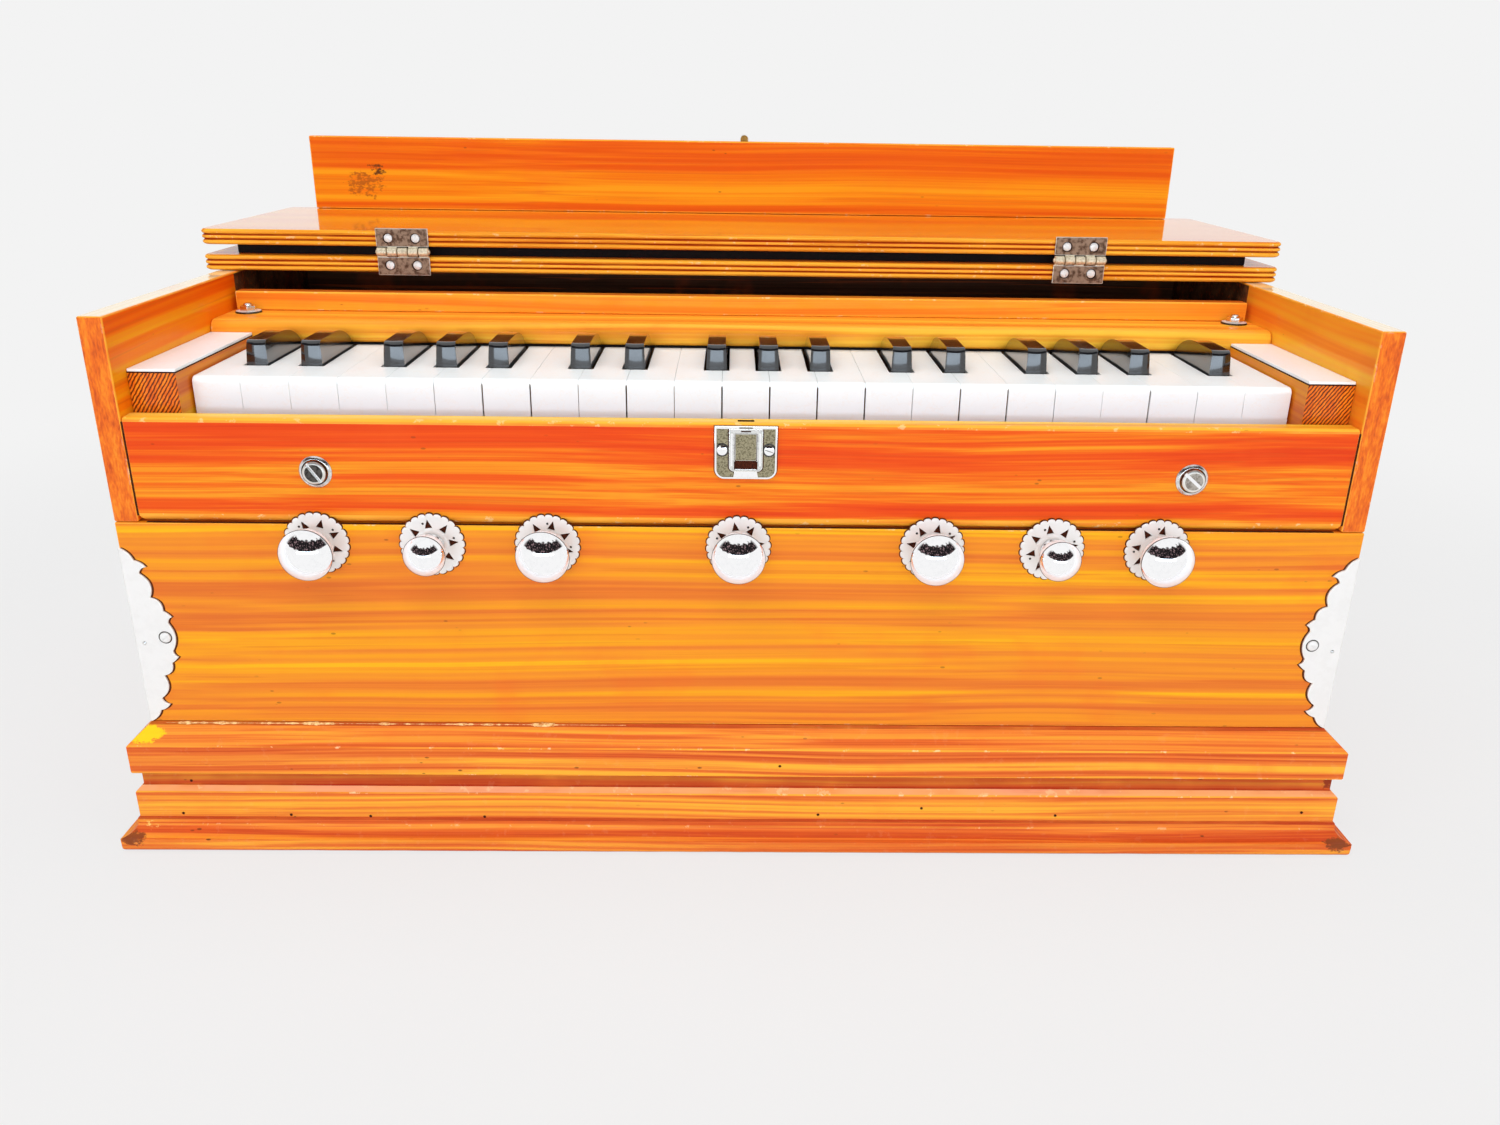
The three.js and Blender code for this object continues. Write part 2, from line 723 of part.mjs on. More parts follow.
// Round fitting turned about a vertical axis, from [radius, height] points
function turnedUp(profile, sides) {
  const points = profile.map(([radius, height]) => new THREE.Vector2(radius, height));
  return new THREE.LatheGeometry(points, sides).rotateX(Math.PI / 2);
}

// Key rail: a rounded nose over the keys, a cap strip behind it and the two nuts that hold it down
function keyRailGeometry() {
  const back = railFront + railDepth;
  const capFront = back - railCapShare * railDepth;
  const profile = polygon([
    [back, railBottom],
    ...arc(railFront + railRound, railBottom + railRound, railRound, 270, 180, 4),
    ...arc(railFront + railRound, railTop - railRound, railRound, 180, 90, 4),
    [capFront, railTop],
    [capFront, railTop + railCapHeight],
    [back, railTop + railCapHeight],
  ]);
  const rail = extrudeAlongX(profile, -halfInner + seam, halfInner - seam);
  const nutTop = washerThickness + nutHeight;
  const crown = arc(0, 0, 1, 0, 90, 3).slice(0, -1);
  const nut = turnedUp([
    [0, -embed],
    [washerRadius, -embed],
    [washerRadius, washerThickness],
    [nutRadius, washerThickness],
    ...crown.map(([out, up]) => [nutRadius * out, nutTop - nutHeight / 2 * (1 - up)]),
    [0, nutTop],
  ], 14);
  const nuts = [-1, 1].map((side) => nut.clone().translate(
    side * (halfInner - nutInset), railFront + nutSetback, railTop));
  return join([rail, ...nuts]);
}

// Wind chest, from the front: floor of the key well, balance rail, reed board and back of the case.
// It is open below, where the plinth closes it.
function windChestGeometry() {
  const half = halfInner - seam;
  const railRadius = balanceRailWidth / 2;
  const backFace = caseBack - chestWall;
  const reedBoardFront = front + reedBoardShare * caseDepth;
  const profile = polygon([
    [caseBack, cheekBottom],
    [chestFront, cheekBottom],
    [chestFront, chestTop],
    [balance - railRadius, chestTop],
    ...arc(balance, keyBottom - seam - railRadius, railRadius, 180, 0, 8),
    [balance + railRadius, chestTop],
    [reedBoardFront, chestTop],
    [reedBoardFront, reedBoardTop],
    [backFace, reedBoardTop],
    [backFace, cheekTop],
    [caseBack, cheekTop],
  ]);
  const hollow = box([-half + chestWall, chestFront + chestWall, cheekBottom - cutOverrun],
    [half - chestWall, backFace, chestTop - chestWall]);
  return cut(extrudeAlongX(profile, -half, half), [hollow]);
}

// Board with reeded long edges and rounded corners
function reededBoard(frontEdge, backEdge, bottom) {
  const steps = 4 * reedCount;
  const edge = Array.from({ length: steps + 1 }, (unused, step) => {
    const valley = reedDepth * (1 - Math.abs(Math.sin(Math.PI * reedCount * step / steps)));
    return [valley, bottom + boardThickness * step / steps];
  });
  const profile = polygon([
    ...edge.map(([valley, height]) => [frontEdge + valley, height]),
    ...edge.map(([valley, height]) => [backEdge - valley, height]).reverse(),
  ]);
  const corner = boardCornerRadius;
  const plan = polygon([
    ...arc(-halfBoard + corner, frontEdge + corner, corner, 180, 270, 3),
    ...arc(halfBoard - corner, frontEdge + corner, corner, 270, 360, 3),
    ...arc(halfBoard - corner, backEdge - corner, corner, 0, 90, 3),
    ...arc(-halfBoard + corner, backEdge - corner, corner, 90, 180, 3),
  ]);
  return common(
    extrudeAlongX(profile, -halfBoard - cutOverrun, halfBoard + cutOverrun),
    extrudeUp(plan, bottom - cutOverrun, bottom + boardThickness + cutOverrun));
}

// Half a butt hinge on the front edge of a board. The lower half keeps the pin and every other knuckle,
// the upper half has the knuckles between them, bored for the pin.
function hingeHalf(x, upper) {
  const leafBack = boardFront + reedDepth;
  const leafFront = boardFront - leafThickness;
  const [low, high] = upper
    ? [lidBottom, lidTop + leafOverhang]
    : [topBoardBottom - leafOverhang, topBoardTop];
  const left = x - hingeWidth / 2;
  const pitch = hingeWidth / hingeKnuckles;
  const pieces = [box([left, leafFront, low], [left + hingeWidth, leafBack, high])];
  for (let knuckle = 0; knuckle < hingeKnuckles; knuckle += 1) {
    if (knuckle % 2 === (upper ? 1 : 0)) {
      const from = left + knuckle * pitch + knuckleGap / 2;
      const to = left + (knuckle + 1) * pitch - knuckleGap / 2;
      pieces.push(cylinderAlongX(from, to, hingeAxisY, hingeAxisHeight, knuckleRadius, 12));
      const tabEnd = upper ? high : low;
      pieces.push(box([from, leafFront, Math.min(tabEnd, hingeAxisHeight)],
        [to, leafBack, Math.max(tabEnd, hingeAxisHeight)]));
    }
  }
  const bore = cylinderAlongX(left - cutOverrun, left + hingeWidth + cutOverrun,
    hingeAxisY, hingeAxisHeight, hingeBoreRadius, 12);
  if (upper) {
    return cut(join(pieces), [bore]);
  }
  const pin = cylinderAlongX(left + knuckleGap, left + hingeWidth - knuckleGap,
    hingeAxisY, hingeAxisHeight, hingePinRadius, 12);
  return join([...pieces, pin]);
}

const hingePlaces = hingePlaceShares.map((share) => share * bodyWidth);

function topBoardGeometry() {
  const board = reededBoard(boardFront, caseBack + topBoardBackOverhang, topBoardBottom);
  return join([board, ...hingePlaces.map((x) => hingeHalf(x, false))]);
}

// Lid: the flap folded back over the top board, with the strip that closes the front when it is shut
function lidGeometry() {
  const flap = reededBoard(boardFront, lidBack, lidBottom);
  const stripHalf = halfInner - stripEndClearance;
  const strip = box(
    [-stripHalf, lidBack - stripThickness, lidTop - embed],
    [stripHalf, lidBack, lidHeight]);
  const tongue = box(
    [-tongueWidth / 2, tongueY - tongueThickness / 2, lidHeight - embed],
    [tongueWidth / 2, tongueY + tongueThickness / 2, lidHeight + tongueLength]);
  return join([flap, strip, tongue, ...hingePlaces.map((x) => hingeHalf(x, true))]);
}

// Bellows folds, closed: ridges and valleys round the sides and the top, flat along the hinged edge
function bellowsFoldsGeometry() {
  const half = halfInner - bellowsInset;
  const rings = Array.from({ length: 2 * foldCount + 1 }, (unused, step) => {
    const y = foldFront + foldDepth * step / (2 * foldCount);
    const inward = step % 2 ? foldValley : 0;
    return [
      [-half + inward, y, bellowsTop - bellowsInset - inward],
      [half - inward, y, bellowsTop - bellowsInset - inward],
      [half - inward, y, bellowsBottom],
      [-half + inward, y, bellowsBottom],
    ];
  });
  return stack(rings);
}

// Bellows board: rounded along its hinged lower edge, with a row of air inlets
function bellowsBoardGeometry() {
  const radius = bellowsBoardThickness / 2;
  const middle = bellowsBoardFront + radius;
  const back = bellowsBoardFront + bellowsBoardThickness;
  const profile = polygon([
    ...arc(middle, bellowsBottom + radius, radius, 180, 360, 6),
    ...arc(back - bellowsBoardRound, bellowsTop - bellowsBoardRound, bellowsBoardRound, 0, 90, 3),
    [bellowsBoardFront, bellowsTop],
  ]);
  const board = extrudeAlongX(profile, -halfInner, halfInner);
  const holeHeight = (bellowsBottom + bellowsTop) / 2;
  const holes = Array.from({ length: inletHoleCount }, (unused, index) => extrudeToFront(
    circle((index - (inletHoleCount - 1) / 2) * inletHoleSpacing, holeHeight, inletHoleRadius),
    back + cutOverrun, bellowsBoardThickness + 2 * cutOverrun, 3));
  return cut(board, holes);
}

// Assembly
addPiece('base_plinth', plinthGeometry(), plinthPine);
addPiece('left_cheek', cheekGeometry(-1), varnishedPine);
addPiece('right_cheek', cheekGeometry(1), varnishedPine);
addPiece('stop_board', stopBoardGeometry(), varnishedPine);
addPiece('key_slip', keySlipGeometry(), varnishedPine);
addPiece('catch_plate', catchPlateGeometry(), nickel);
addPiece('left_end_block', endBlockGeometry(-1), varnishedPine);
addPiece('right_end_block', endBlockGeometry(1), varnishedPine);
addPiece('key_rail', keyRailGeometry(), varnishedPine);
addPiece('wind_chest', windChestGeometry(), bareWood);
addPiece('top_board', topBoardGeometry(), varnishedPine);
addPiece('lid', lidGeometry(), varnishedPine);
addPiece('bellows_folds', bellowsFoldsGeometry(), leather);
addPiece('bellows_board', bellowsBoardGeometry(), varnishedPine);

const stops = new THREE.Group();
stops.position.set(0, front, stopHeight);
harmonium.add(stops);
stopPlaces.forEach((x, index) => {
  const radius = stopIsLarge[index] ? largeKnobRadius : smallKnobRadius;
  addPiece(`draw_stop_${index + 1}`, stopGeometry(radius), chrome, stops).position.x = x;
});

const twoDigits = (number) => String(number).padStart(2, '0');
const layout = keyLayout();
layout.whites.forEach((key, index) => {
  addPiece(`white_key_${twoDigits(index + 1)}`, whiteKeyGeometry(key), ivory);
});
layout.blacks.forEach((x, index) => {
  addPiece(`black_key_${twoDigits(index + 1)}`, blackKeyGeometry(x), ebony);
});

export default harmonium;
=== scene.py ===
import math

import bmesh
import bpy
from mathutils import Matrix, Vector, noise


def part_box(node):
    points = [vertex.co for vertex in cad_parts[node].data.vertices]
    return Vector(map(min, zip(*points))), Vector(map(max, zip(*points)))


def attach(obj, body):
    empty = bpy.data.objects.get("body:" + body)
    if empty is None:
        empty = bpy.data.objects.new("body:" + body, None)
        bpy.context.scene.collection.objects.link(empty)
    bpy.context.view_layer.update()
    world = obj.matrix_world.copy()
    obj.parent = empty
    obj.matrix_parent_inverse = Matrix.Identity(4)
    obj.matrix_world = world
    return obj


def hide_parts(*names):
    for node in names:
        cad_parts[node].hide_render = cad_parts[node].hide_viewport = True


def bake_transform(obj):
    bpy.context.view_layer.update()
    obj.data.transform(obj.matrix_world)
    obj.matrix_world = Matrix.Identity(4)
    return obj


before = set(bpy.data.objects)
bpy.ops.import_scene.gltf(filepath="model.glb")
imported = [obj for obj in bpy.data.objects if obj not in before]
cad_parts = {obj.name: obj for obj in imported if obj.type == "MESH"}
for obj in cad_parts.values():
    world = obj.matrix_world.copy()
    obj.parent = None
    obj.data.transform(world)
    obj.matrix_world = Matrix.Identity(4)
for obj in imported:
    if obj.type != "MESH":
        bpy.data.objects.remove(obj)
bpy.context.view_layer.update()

# Sizes are in millimetres here and become metres when a piece is made.
MM = 0.001
SIDES = ((-1, "left"), (1, "right"))


def span(node):
    """Lowest and highest corners of a CAD node, in millimetres."""
    low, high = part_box(node)
    return low * 1000, high * 1000


def link(name, data):
    made = bpy.data.objects.new(name, data)
    bpy.context.scene.collection.objects.link(made)
    return made


# Camera
def add_camera():
    pitch, yaw, roll = (math.radians(angle) for angle in (21.184, 0.993, -0.837))
    ahead = Vector((math.sin(yaw) * math.cos(pitch), math.cos(yaw) * math.cos(pitch), -math.sin(pitch)))
    right = Vector((math.cos(yaw), -math.sin(yaw), 0))
    down = ahead.cross(right)
    across = right * math.cos(roll) + down * math.sin(roll)
    below = down * math.cos(roll) - right * math.sin(roll)
    data = bpy.data.cameras.new("camera")
    data.sensor_fit = "HORIZONTAL"
    data.sensor_width = 36
    data.lens = 28.43
    camera = link("camera", data)
    camera.matrix_world = Matrix((across, -below, -ahead)).transposed().to_4x4()
    camera.matrix_world.translation = Vector((-6.2, -651.8, 342.3)) * MM
    bpy.context.scene.camera = camera


add_camera()

# Materials, by the short names that the pieces use
M = {}


def linear(red, green, blue):
    """A colour from 0 to 255 as the shader's linear colour."""
    return [(c / 255 / 12.92) if c < 11 else ((c / 255 + 0.055) / 1.055) ** 2.4 for c in (red, green, blue)] + [1]


class Tree:
    """Short calls for the nodes of a material or of the world."""

    def __init__(self, owner, coordinates="Object"):
        owner.use_nodes = True
        self.tree = owner.node_tree
        self.tree.nodes.clear()
        self.place = self.node("TexCoord").outputs[coordinates]

    def node(self, kind, inputs=None, **settings):
        made = self.tree.nodes.new("ShaderNode" + kind)
        for key, value in settings.items():
            setattr(made, key, value)
        for key, value in (inputs or {}).items():
            self.put(made.inputs[key], value)
        return made

    def put(self, socket, value):
        """Links the socket, or sets a number, a vector or a colour from 0 to 255."""
        if isinstance(value, bpy.types.NodeSocket):
            self.tree.links.new(value, socket)
        else:
            socket.default_value = linear(*value) if socket.type == "RGBA" else value

    def vector(self, operation, first, second, third=(0, 0, 0)):
        return self.node("VectorMath", {0: first, 1: second, 2: third}, operation=operation).outputs[0]

    def length(self, value):
        return self.node("VectorMath", {0: value}, operation="LENGTH").outputs["Value"]

    def math(self, operation, first, second=0.0, third=0.0, clamp=False):
        return self.node("Math", {0: first, 1: second, 2: third}, operation=operation, use_clamp=clamp).outputs[0]

    def times(self, first, second):
        return self.math("MULTIPLY", first, second)

    def minus(self, first, second):
        return self.math("SUBTRACT", first, second)

    def scaled(self, value, factor, added, clamp=False):
        return self.math("MULTIPLY_ADD", value, factor, added, clamp)

    def noise(self, scale, detail=2.0, roughness=0.5, place=None, output=0):
        """scale is a number or one for each axis."""
        scale = [scale] * 3 if isinstance(scale, (int, float)) else scale
        place = self.vector("MULTIPLY", self.place if place is None else place, scale)
        return self.node("TexNoise", {"Vector": place, "Scale": 1.0, "Detail": detail,
                                      "Roughness": roughness}).outputs[output]

    def step(self, value, low, high, to_low=0.0, to_high=1.0):
        return self.node("MapRange", {0: value, 1: low, 2: high, 3: to_low, 4: to_high},
                         interpolation_type="SMOOTHSTEP").outputs[0]

    def mix(self, share, first, second):
        return self.node("Mix", {0: share, 6: first, 7: second}, data_type="RGBA").outputs[2]

    def blend(self, share, first, second):
        return self.node("MixShader", {0: share, 1: first, 2: second}).outputs[0]

    def ray(self, kind):
        return self.node("LightPath").outputs["Is %s Ray" % kind]


class Shader(Tree):
    """A material with a Principled shader."""

    def __init__(self, key, name, inputs=None, tint=None):
        self.tint = tint
        M[key] = bpy.data.materials.new(name)
        super().__init__(M[key])
        self.bsdf = self.node("BsdfPrincipled", inputs)
        self.node("OutputMaterial", {"Surface": self.bsdf.outputs[0]})

    def ramp(self, value, stops):
        made = self.node("ValToRGB", {0: value})
        elements = made.color_ramp.elements
        while len(elements) < len(stops):
            elements.new(0.5)
        for element, (position, colour) in zip(elements, stops):
            element.position = position
            element.color = linear(*colour)
        return made.outputs[0]

    def attribute(self, name):
        return self.node("Attribute", attribute_name=name).outputs["Fac"]

    def paint(self, share, colour):
        """Lays a colour over the tint, as far as share says."""
        self.tint = self.mix(share, self.tint, colour)

    def finish(self, roughness, height, distance, strength):
        bump = self.node("Bump", {"Height": height, "Distance": distance, "Strength": strength})
        for name, value in (("Base Color", self.tint), ("Roughness", roughness), ("Normal", bump.outputs[0])):
            self.put(self.bsdf.inputs[name], value)


def stretched(axis, along, across):
    return [along if axis == name else across for name in "XYZ"]


def shades(dark, middle, pale):
    return [(0.0, dark), (0.5, middle), (1.0, pale)]


PINE = [(0.0, (234, 76, 2)), (0.28, (246, 94, 2)), (0.5, (252, 114, 4)), (0.74, (254, 134, 8)),
        (1.0, (255, 164, 20))]
RED_PINE = [(0.0, (220, 58, 6)), (0.3, (228, 72, 6)), (0.5, (233, 86, 8)), (0.7, (237, 112, 14)),
            (1.0, (241, 152, 28))]
STRIP_PINE = [(0.0, (224, 86, 0)), (0.3, (233, 108, 2)), (0.6, (238, 132, 6)), (1.0, (244, 160, 18))]
END = [(0.0, (190, 66, 2)), (0.3, (222, 94, 4)), (0.6, (236, 112, 6)), (1.0, (244, 142, 24))]
PALE_PINE = [(0.0, (220, 108, 36)), (0.25, (230, 124, 36)), (0.5, (237, 142, 32)), (0.76, (242, 156, 22)),
             (1.0, (246, 178, 18))]
SALMON = [(0.0, (200, 68, 26)), (0.25, (222, 100, 38)), (0.5, (234, 128, 46)), (0.75, (243, 154, 50)),
          (1.0, (248, 176, 52))]


def wood(key, seed, axis="X", stops=PINE, bands=62, fine=0.4, worn=0.5, coat=0.15, dirt=0.5, stains=(), gloss=1.5):
    """Varnished softwood: wandering bands and lines along the grain, pores, varnish gathered in hollows with painted
    shade, edges rubbed pale with painted highlights, a painted sheen.
    """
    shader = Shader(key, "wood_" + key, {
        "Coat Weight": coat, "Coat Roughness": 0.05, "Coat IOR": gloss, "Specular IOR Level": 0.12})
    place = shader.vector("ADD", shader.place, (seed * 0.731, seed * 0.377, seed * 0.519))
    drift = shader.noise(stretched(axis, 3.0, 7), 1.5, place=place, output=1)
    place = shader.vector("MULTIPLY_ADD", drift, stretched(axis, 0, 0.014), place)

    def grain(along, across, detail=1.0, roughness=0.5):
        return shader.noise(stretched(axis, along, across), detail, roughness, place)

    broad = shader.step(grain(0.5, bands), 0.38, 0.62)
    middle = shader.step(grain(0.7, bands * 3.3), 0.36, 0.64)
    fibre = grain(22, 1900, 2.0, 0.6)
    tone = shader.scaled(middle, fine, shader.times(broad, 0.92 - fine))
    tone = shader.scaled(shader.minus(grain(1.2, bands * 10), 0.47), 0.75, tone)
    tone = shader.scaled(shader.minus(fibre, 0.45), 0.24, tone, clamp=True)
    shader.tint = shader.ramp(tone, stops)
    # Dark lines of late wood, soft blotches of stain
    lines = shader.step(grain(0.9, bands * 8), 0.62, 0.68, 0.0, 0.3)
    shader.paint(lines, (214, 92, 20))
    blotch = shader.noise(26, 3.0, 0.6, place)
    shader.paint(shader.step(blotch, 0.52, 0.76, 0.0, 0.22), (236, 92, 26))
    # Marks that damp and spilt varnish have left
    ragged = shader.noise((230, 230, 420), 5.0, 0.75)
    for x, y, z, size, strength, stain in stains:
        away = shader.vector("SUBTRACT", shader.place, (x * MM, y * MM, z * MM))
        away = shader.length(shader.vector("MULTIPLY", away, (0.7, 1.2, 1)))
        mark = shader.scaled(ragged, 1.8, shader.step(away, 0.0, size * MM, 0.2, -1.0))
        shader.paint(shader.step(mark, 0.68 - 0.4 * strength, 0.9 - 0.4 * strength), stain)
    # Darker red in hollows, grooves and under edges: varnish that has gathered there and painted shade
    pool_and_shade = shader.times(shader.attribute("pool_and_shade"), shader.step(blotch, 0.25, 0.6, 0.55, 1.0))
    shader.paint(pool_and_shade, (168, 36, 10))
    # Pinkish painted highlight on the plinth's slopes, where the varnish would catch the light
    painted_sheen = shader.times(shader.attribute("painted_sheen"), shader.step(blotch, 0.3, 0.55, 0.4, 1.0))
    shader.paint(painted_sheen, (252, 176, 140))
    # Short dark pores and specks
    cells = shader.node("TexVoronoi", {
        "Vector": shader.vector("MULTIPLY", shader.place, stretched(axis, 90, 210)), "Scale": 1.0})
    speck = shader.times(shader.step(cells.outputs["Distance"], 0.07, 0.13, 1.0, 0.0),
                         shader.step(shader.noise(38, place=place), 0.56, 0.66))
    shader.paint(shader.times(speck, dirt), (96, 40, 14))
    # Edges made pale, partly rubbed and partly painted highlight, with a few chips down to the bare wood
    edge = shader.attribute("wear_and_highlight")
    rub = shader.noise(stretched(axis, 12, 60), 3.0, 0.6)
    shader.paint(shader.times(edge, shader.step(rub, 0.3, 0.6, 0.2, 0.9)), (255, 176, 58))
    chips = shader.step(shader.noise(170, 3.0, 0.7), 0.6, 0.66)
    shader.paint(shader.times(shader.times(edge, chips), worn), (252, 222, 168))
    height = shader.scaled(grain(6, 46), 3.0, shader.math("ADD", middle, shader.times(fibre, 0.35)))
    shader.finish(shader.step(fibre, 0.3, 0.7, 0.42, 0.55), height, 0.00012, 0.6)


def end_grain(key, name, seed, sawn=0.0, stops=END):
    """The cut ends of boards: short mottled grain, with saw marks where sawn is above 0."""
    shader = Shader(key, name, {"Coat Weight": 0.3, "Coat Roughness": 0.12, "Specular IOR Level": 0.2})
    place = shader.vector("ADD", shader.place, (seed * 0.31, seed * 0.17, seed * 0.23))
    coarse = shader.noise((260, 260, 70), 3.0, 0.6, place)
    fine = shader.noise((1100, 1100, 300), place=place)
    height = tone = shader.step(shader.scaled(fine, 0.4, shader.times(coarse, 0.6)), 0.3, 0.7)
    shader.tint = shader.ramp(tone, stops)
    if sawn:
        turned = shader.node("Mapping", {"Vector": place, "Rotation": (0.0, math.radians(-34), 0.0)}).outputs[0]
        marks = shader.node("TexWave", {"Vector": turned, "Scale": 215.0, "Distortion": 2.4, "Detail": 2.0,
                                        "Detail Scale": 1.6}, wave_type="BANDS", bands_direction="X")
        broken = shader.times(shader.step(marks.outputs["Fac"], 0.5, 0.8, 0.0, sawn),
                              shader.step(shader.noise(90, 3.0, place=place), 0.1, 0.36))
        shader.paint(broken, (84, 26, 0))
        height = shader.minus(tone, shader.times(broken, 2.0))
    chips = shader.step(shader.noise(170, 3.0, 0.7), 0.54, 0.62)
    edge = shader.times(shader.attribute("wear_and_highlight"), chips)
    shader.paint(shader.times(edge, 0.6), (236, 150, 110))
    shader.finish(0.5, height, 0.0002, 0.8)


def metal(key, name, colour, dull, roughness, spots, dents, grain=420, metallic=1.0):
    """Plated metal: dull spots, small dents, edges made bright, partly rubbed and partly painted highlight."""
    shader = Shader(key, name, {"Metallic": metallic}, colour)
    cloud = shader.noise(grain, 4.0, 0.65)
    shader.paint(shader.step(cloud, 0.44, 0.64, 0.0, spots), dull)
    shader.paint(shader.times(shader.attribute("wear_and_highlight"), 0.8), (250, 248, 240))
    shader.finish(shader.step(cloud, 0.4, 0.75, roughness, roughness + 0.25 * (spots + 0.1)),
                  shader.noise(grain / 3, 3.0), 0.0002, dents)


def polished(key, name):
    """Chrome of the knobs: mirror bright in the middle, hazy white where it curves away."""
    shader = Shader(key, name, tint=(250, 250, 251))
    facing = shader.node("LayerWeight", {"Blend": 0.5}).outputs["Facing"]
    haze = shader.times(shader.step(facing, 0.27, 0.41), 0.94)
    shader.put(shader.bsdf.inputs["Metallic"], shader.minus(1.0, haze))
    cloud = shader.noise(420, 4.0, 0.65)
    shader.paint(shader.step(cloud, 0.44, 0.64, 0.0, 0.1), (214, 216, 220))
    shader.finish(shader.step(cloud, 0.4, 0.75, 0.04, 0.09), shader.noise(140, 3.0), 0.0002, 0.12)


def enamel(key, name, colour, dark, roughness, coat, marks=0.2, veins=None):
    """Smooth plastic or lacquer with faint clouds, fine scratches and, where given, pearly veins."""
    shader = Shader(key, name, {"Coat Weight": coat, "Coat Roughness": 0.04}, colour)
    cloud = shader.noise((60, 22, 60), 3.0, 0.6)
    scratch = shader.noise((1400, 30, 1400), 1.0)
    share = shader.scaled(shader.step(scratch, 0.66, 0.74), marks, shader.step(cloud, 0.45, 0.75, 0.0, marks))
    shader.paint(share, dark)
    if veins:
        vein = shader.math("ABSOLUTE", shader.minus(shader.noise((90, 60, 130), 3.0, 0.7), 0.5))
        shader.paint(shader.step(vein, 0.0, 0.025, 0.35, 0.0), veins)
    shader.finish(shader.step(cloud, 0.3, 0.7, roughness, roughness + 0.12),
                  shader.noise((70, 30, 70)), 0.0001, 0.5)


def cloth(key, name, colour, dark, scale):
    """Coarse cloth or thin leather; also flat dark colours for painted shade."""
    shader = Shader(key, name, {"Specular IOR Level": 0.2}, colour)
    weave = shader.noise(scale, 3.0, 0.7)
    shader.paint(shader.step(weave, 0.35, 0.7), dark)
    shader.paint(shader.step(shader.noise(40, 3.0), 0.45, 0.7, 0.0, 0.4), dark)
    shader.finish(0.85, weave, 0.0004, 0.7)


wood("slip", 3.4, stops=RED_PINE, bands=96, fine=0.3)
# Paler wood on the slip's top face: lighter wood and a painted highlight
wood("slip_top", 4.4, stops=shades((232, 150, 30), (244, 186, 50), (255, 208, 90)))
wood("stop_board", 7.7, stops=PALE_PINE, bands=64, fine=0.55)
wood("strip", 12.1, stops=STRIP_PINE, bands=84, fine=0.35, coat=0.0, stains=(
    (-238, 131, 292, 26, -0.4, (184, 96, 16)), (-231, 131, 300, 13, -0.25, (100, 56, 16))))
wood("top", 5.9, stops=PALE_PINE, fine=0.6, coat=0.7)
wood("lid", 9.2, stops=PALE_PINE, bands=90, fine=0.6, coat=1.0, gloss=2.0)
wood("cheek_left", 13.4, "Y", bands=44)
wood("cheek_right", 17.9, "Y", [(0.0, (242, 108, 22)), (0.4, (254, 144, 36)), (1.0, (255, 184, 48))], bands=40)
wood("rail", 21.6, stops=shades((240, 134, 34), (248, 164, 44), (255, 196, 60)), bands=80)
wood("cap", 23.8, stops=shades((238, 116, 24), (247, 146, 36), (253, 176, 44)), bands=80)
# Pale cream on the cheeks' top faces: painted reflection of the white room
wood("cheek_top", 19.3, "Y", shades((246, 214, 150), (252, 232, 190), (255, 244, 220)), worn=0.9, coat=1.0,
     gloss=2.0)
wood("block", 27.1, "Y", PALE_PINE)
wood("reeds", 29.9, stops=[(0.0, (216, 116, 20)), (0.4, (236, 152, 30)), (1.0, (250, 190, 60))], bands=200,
     fine=0.6, coat=0.0)
wood("plinth_x", 31.5, stops=SALMON, bands=110, fine=0.5, worn=0.7, dirt=0.9, coat=0.1, stains=(
    (-285, -151, 58, 11, 0.9, (252, 204, 24)), (-294, -162, 7, 10, 0.2, (136, 62, 26)),
    (-287, -160, 13, 7, 0.7, (246, 204, 110)), (293, -162, 7, 10, 0.2, (136, 62, 26)),
    (290, -154, 35, 9, 0.3, (120, 44, 20))))
wood("plinth_y", 37.3, "Y", SALMON, bands=110, fine=0.5, worn=0.7, dirt=0.9, coat=0.1)
wood("pump", 41.7, stops=PALE_PINE, bands=50, fine=0.5)
wood("bare", 45.2, "Y", shades((150, 98, 58), (196, 146, 96), (222, 180, 130)), coat=0.0)
wood("bare_x", 47.2, stops=shades((128, 78, 44), (170, 118, 74), (200, 152, 104)), coat=0.0)
# Dark wood for the inside of the case: bare wood, darkened as painted shade
wood("inside", 49.1, stops=shades((58, 34, 20), (84, 52, 32), (112, 74, 46)), coat=0.0)
end_grain("end", "end_grain", 2.2)
end_grain("sawn", "sawn_end", 6.4, sawn=0.9, stops=shades((214, 92, 6), (240, 118, 12), (254, 150, 28)))
polished("knob", "knob_chrome")
metal("chrome", "chrome", (250, 250, 251), (214, 216, 220), 0.04, 0.1, 0.12)
metal("plate", "plate_chrome", (238, 235, 231), (226, 222, 217), 0.34, 0.25, 0.25, 160, metallic=0.25)
metal("steel", "bright_steel", (226, 226, 224), (140, 138, 134), 0.2, 0.35, 0.3)
metal("nickel", "aged_nickel", (158, 128, 106), (100, 74, 60), 0.42, 0.9, 0.9)
metal("knuckle", "knuckle_metal", (240, 228, 200), (180, 160, 126), 0.4, 0.5, 0.5, 900, metallic=0.6)
metal("catch", "catch_metal", (168, 158, 128), (100, 90, 66), 0.42, 0.8, 1.0, 1300)
metal("dark_metal", "dark_metal", (92, 88, 84), (36, 32, 30), 0.4, 0.8, 0.6, 600)
metal("grey_metal", "grey_metal", (184, 176, 166), (120, 110, 100), 0.34, 0.7, 0.6, 700)
metal("brass", "brass", (150, 112, 56), (84, 58, 26), 0.38, 0.6, 0.5)
enamel("white", "white_covering", (251, 254, 254), (249, 252, 251), 0.34, 0.12, veins=(250, 245, 238))
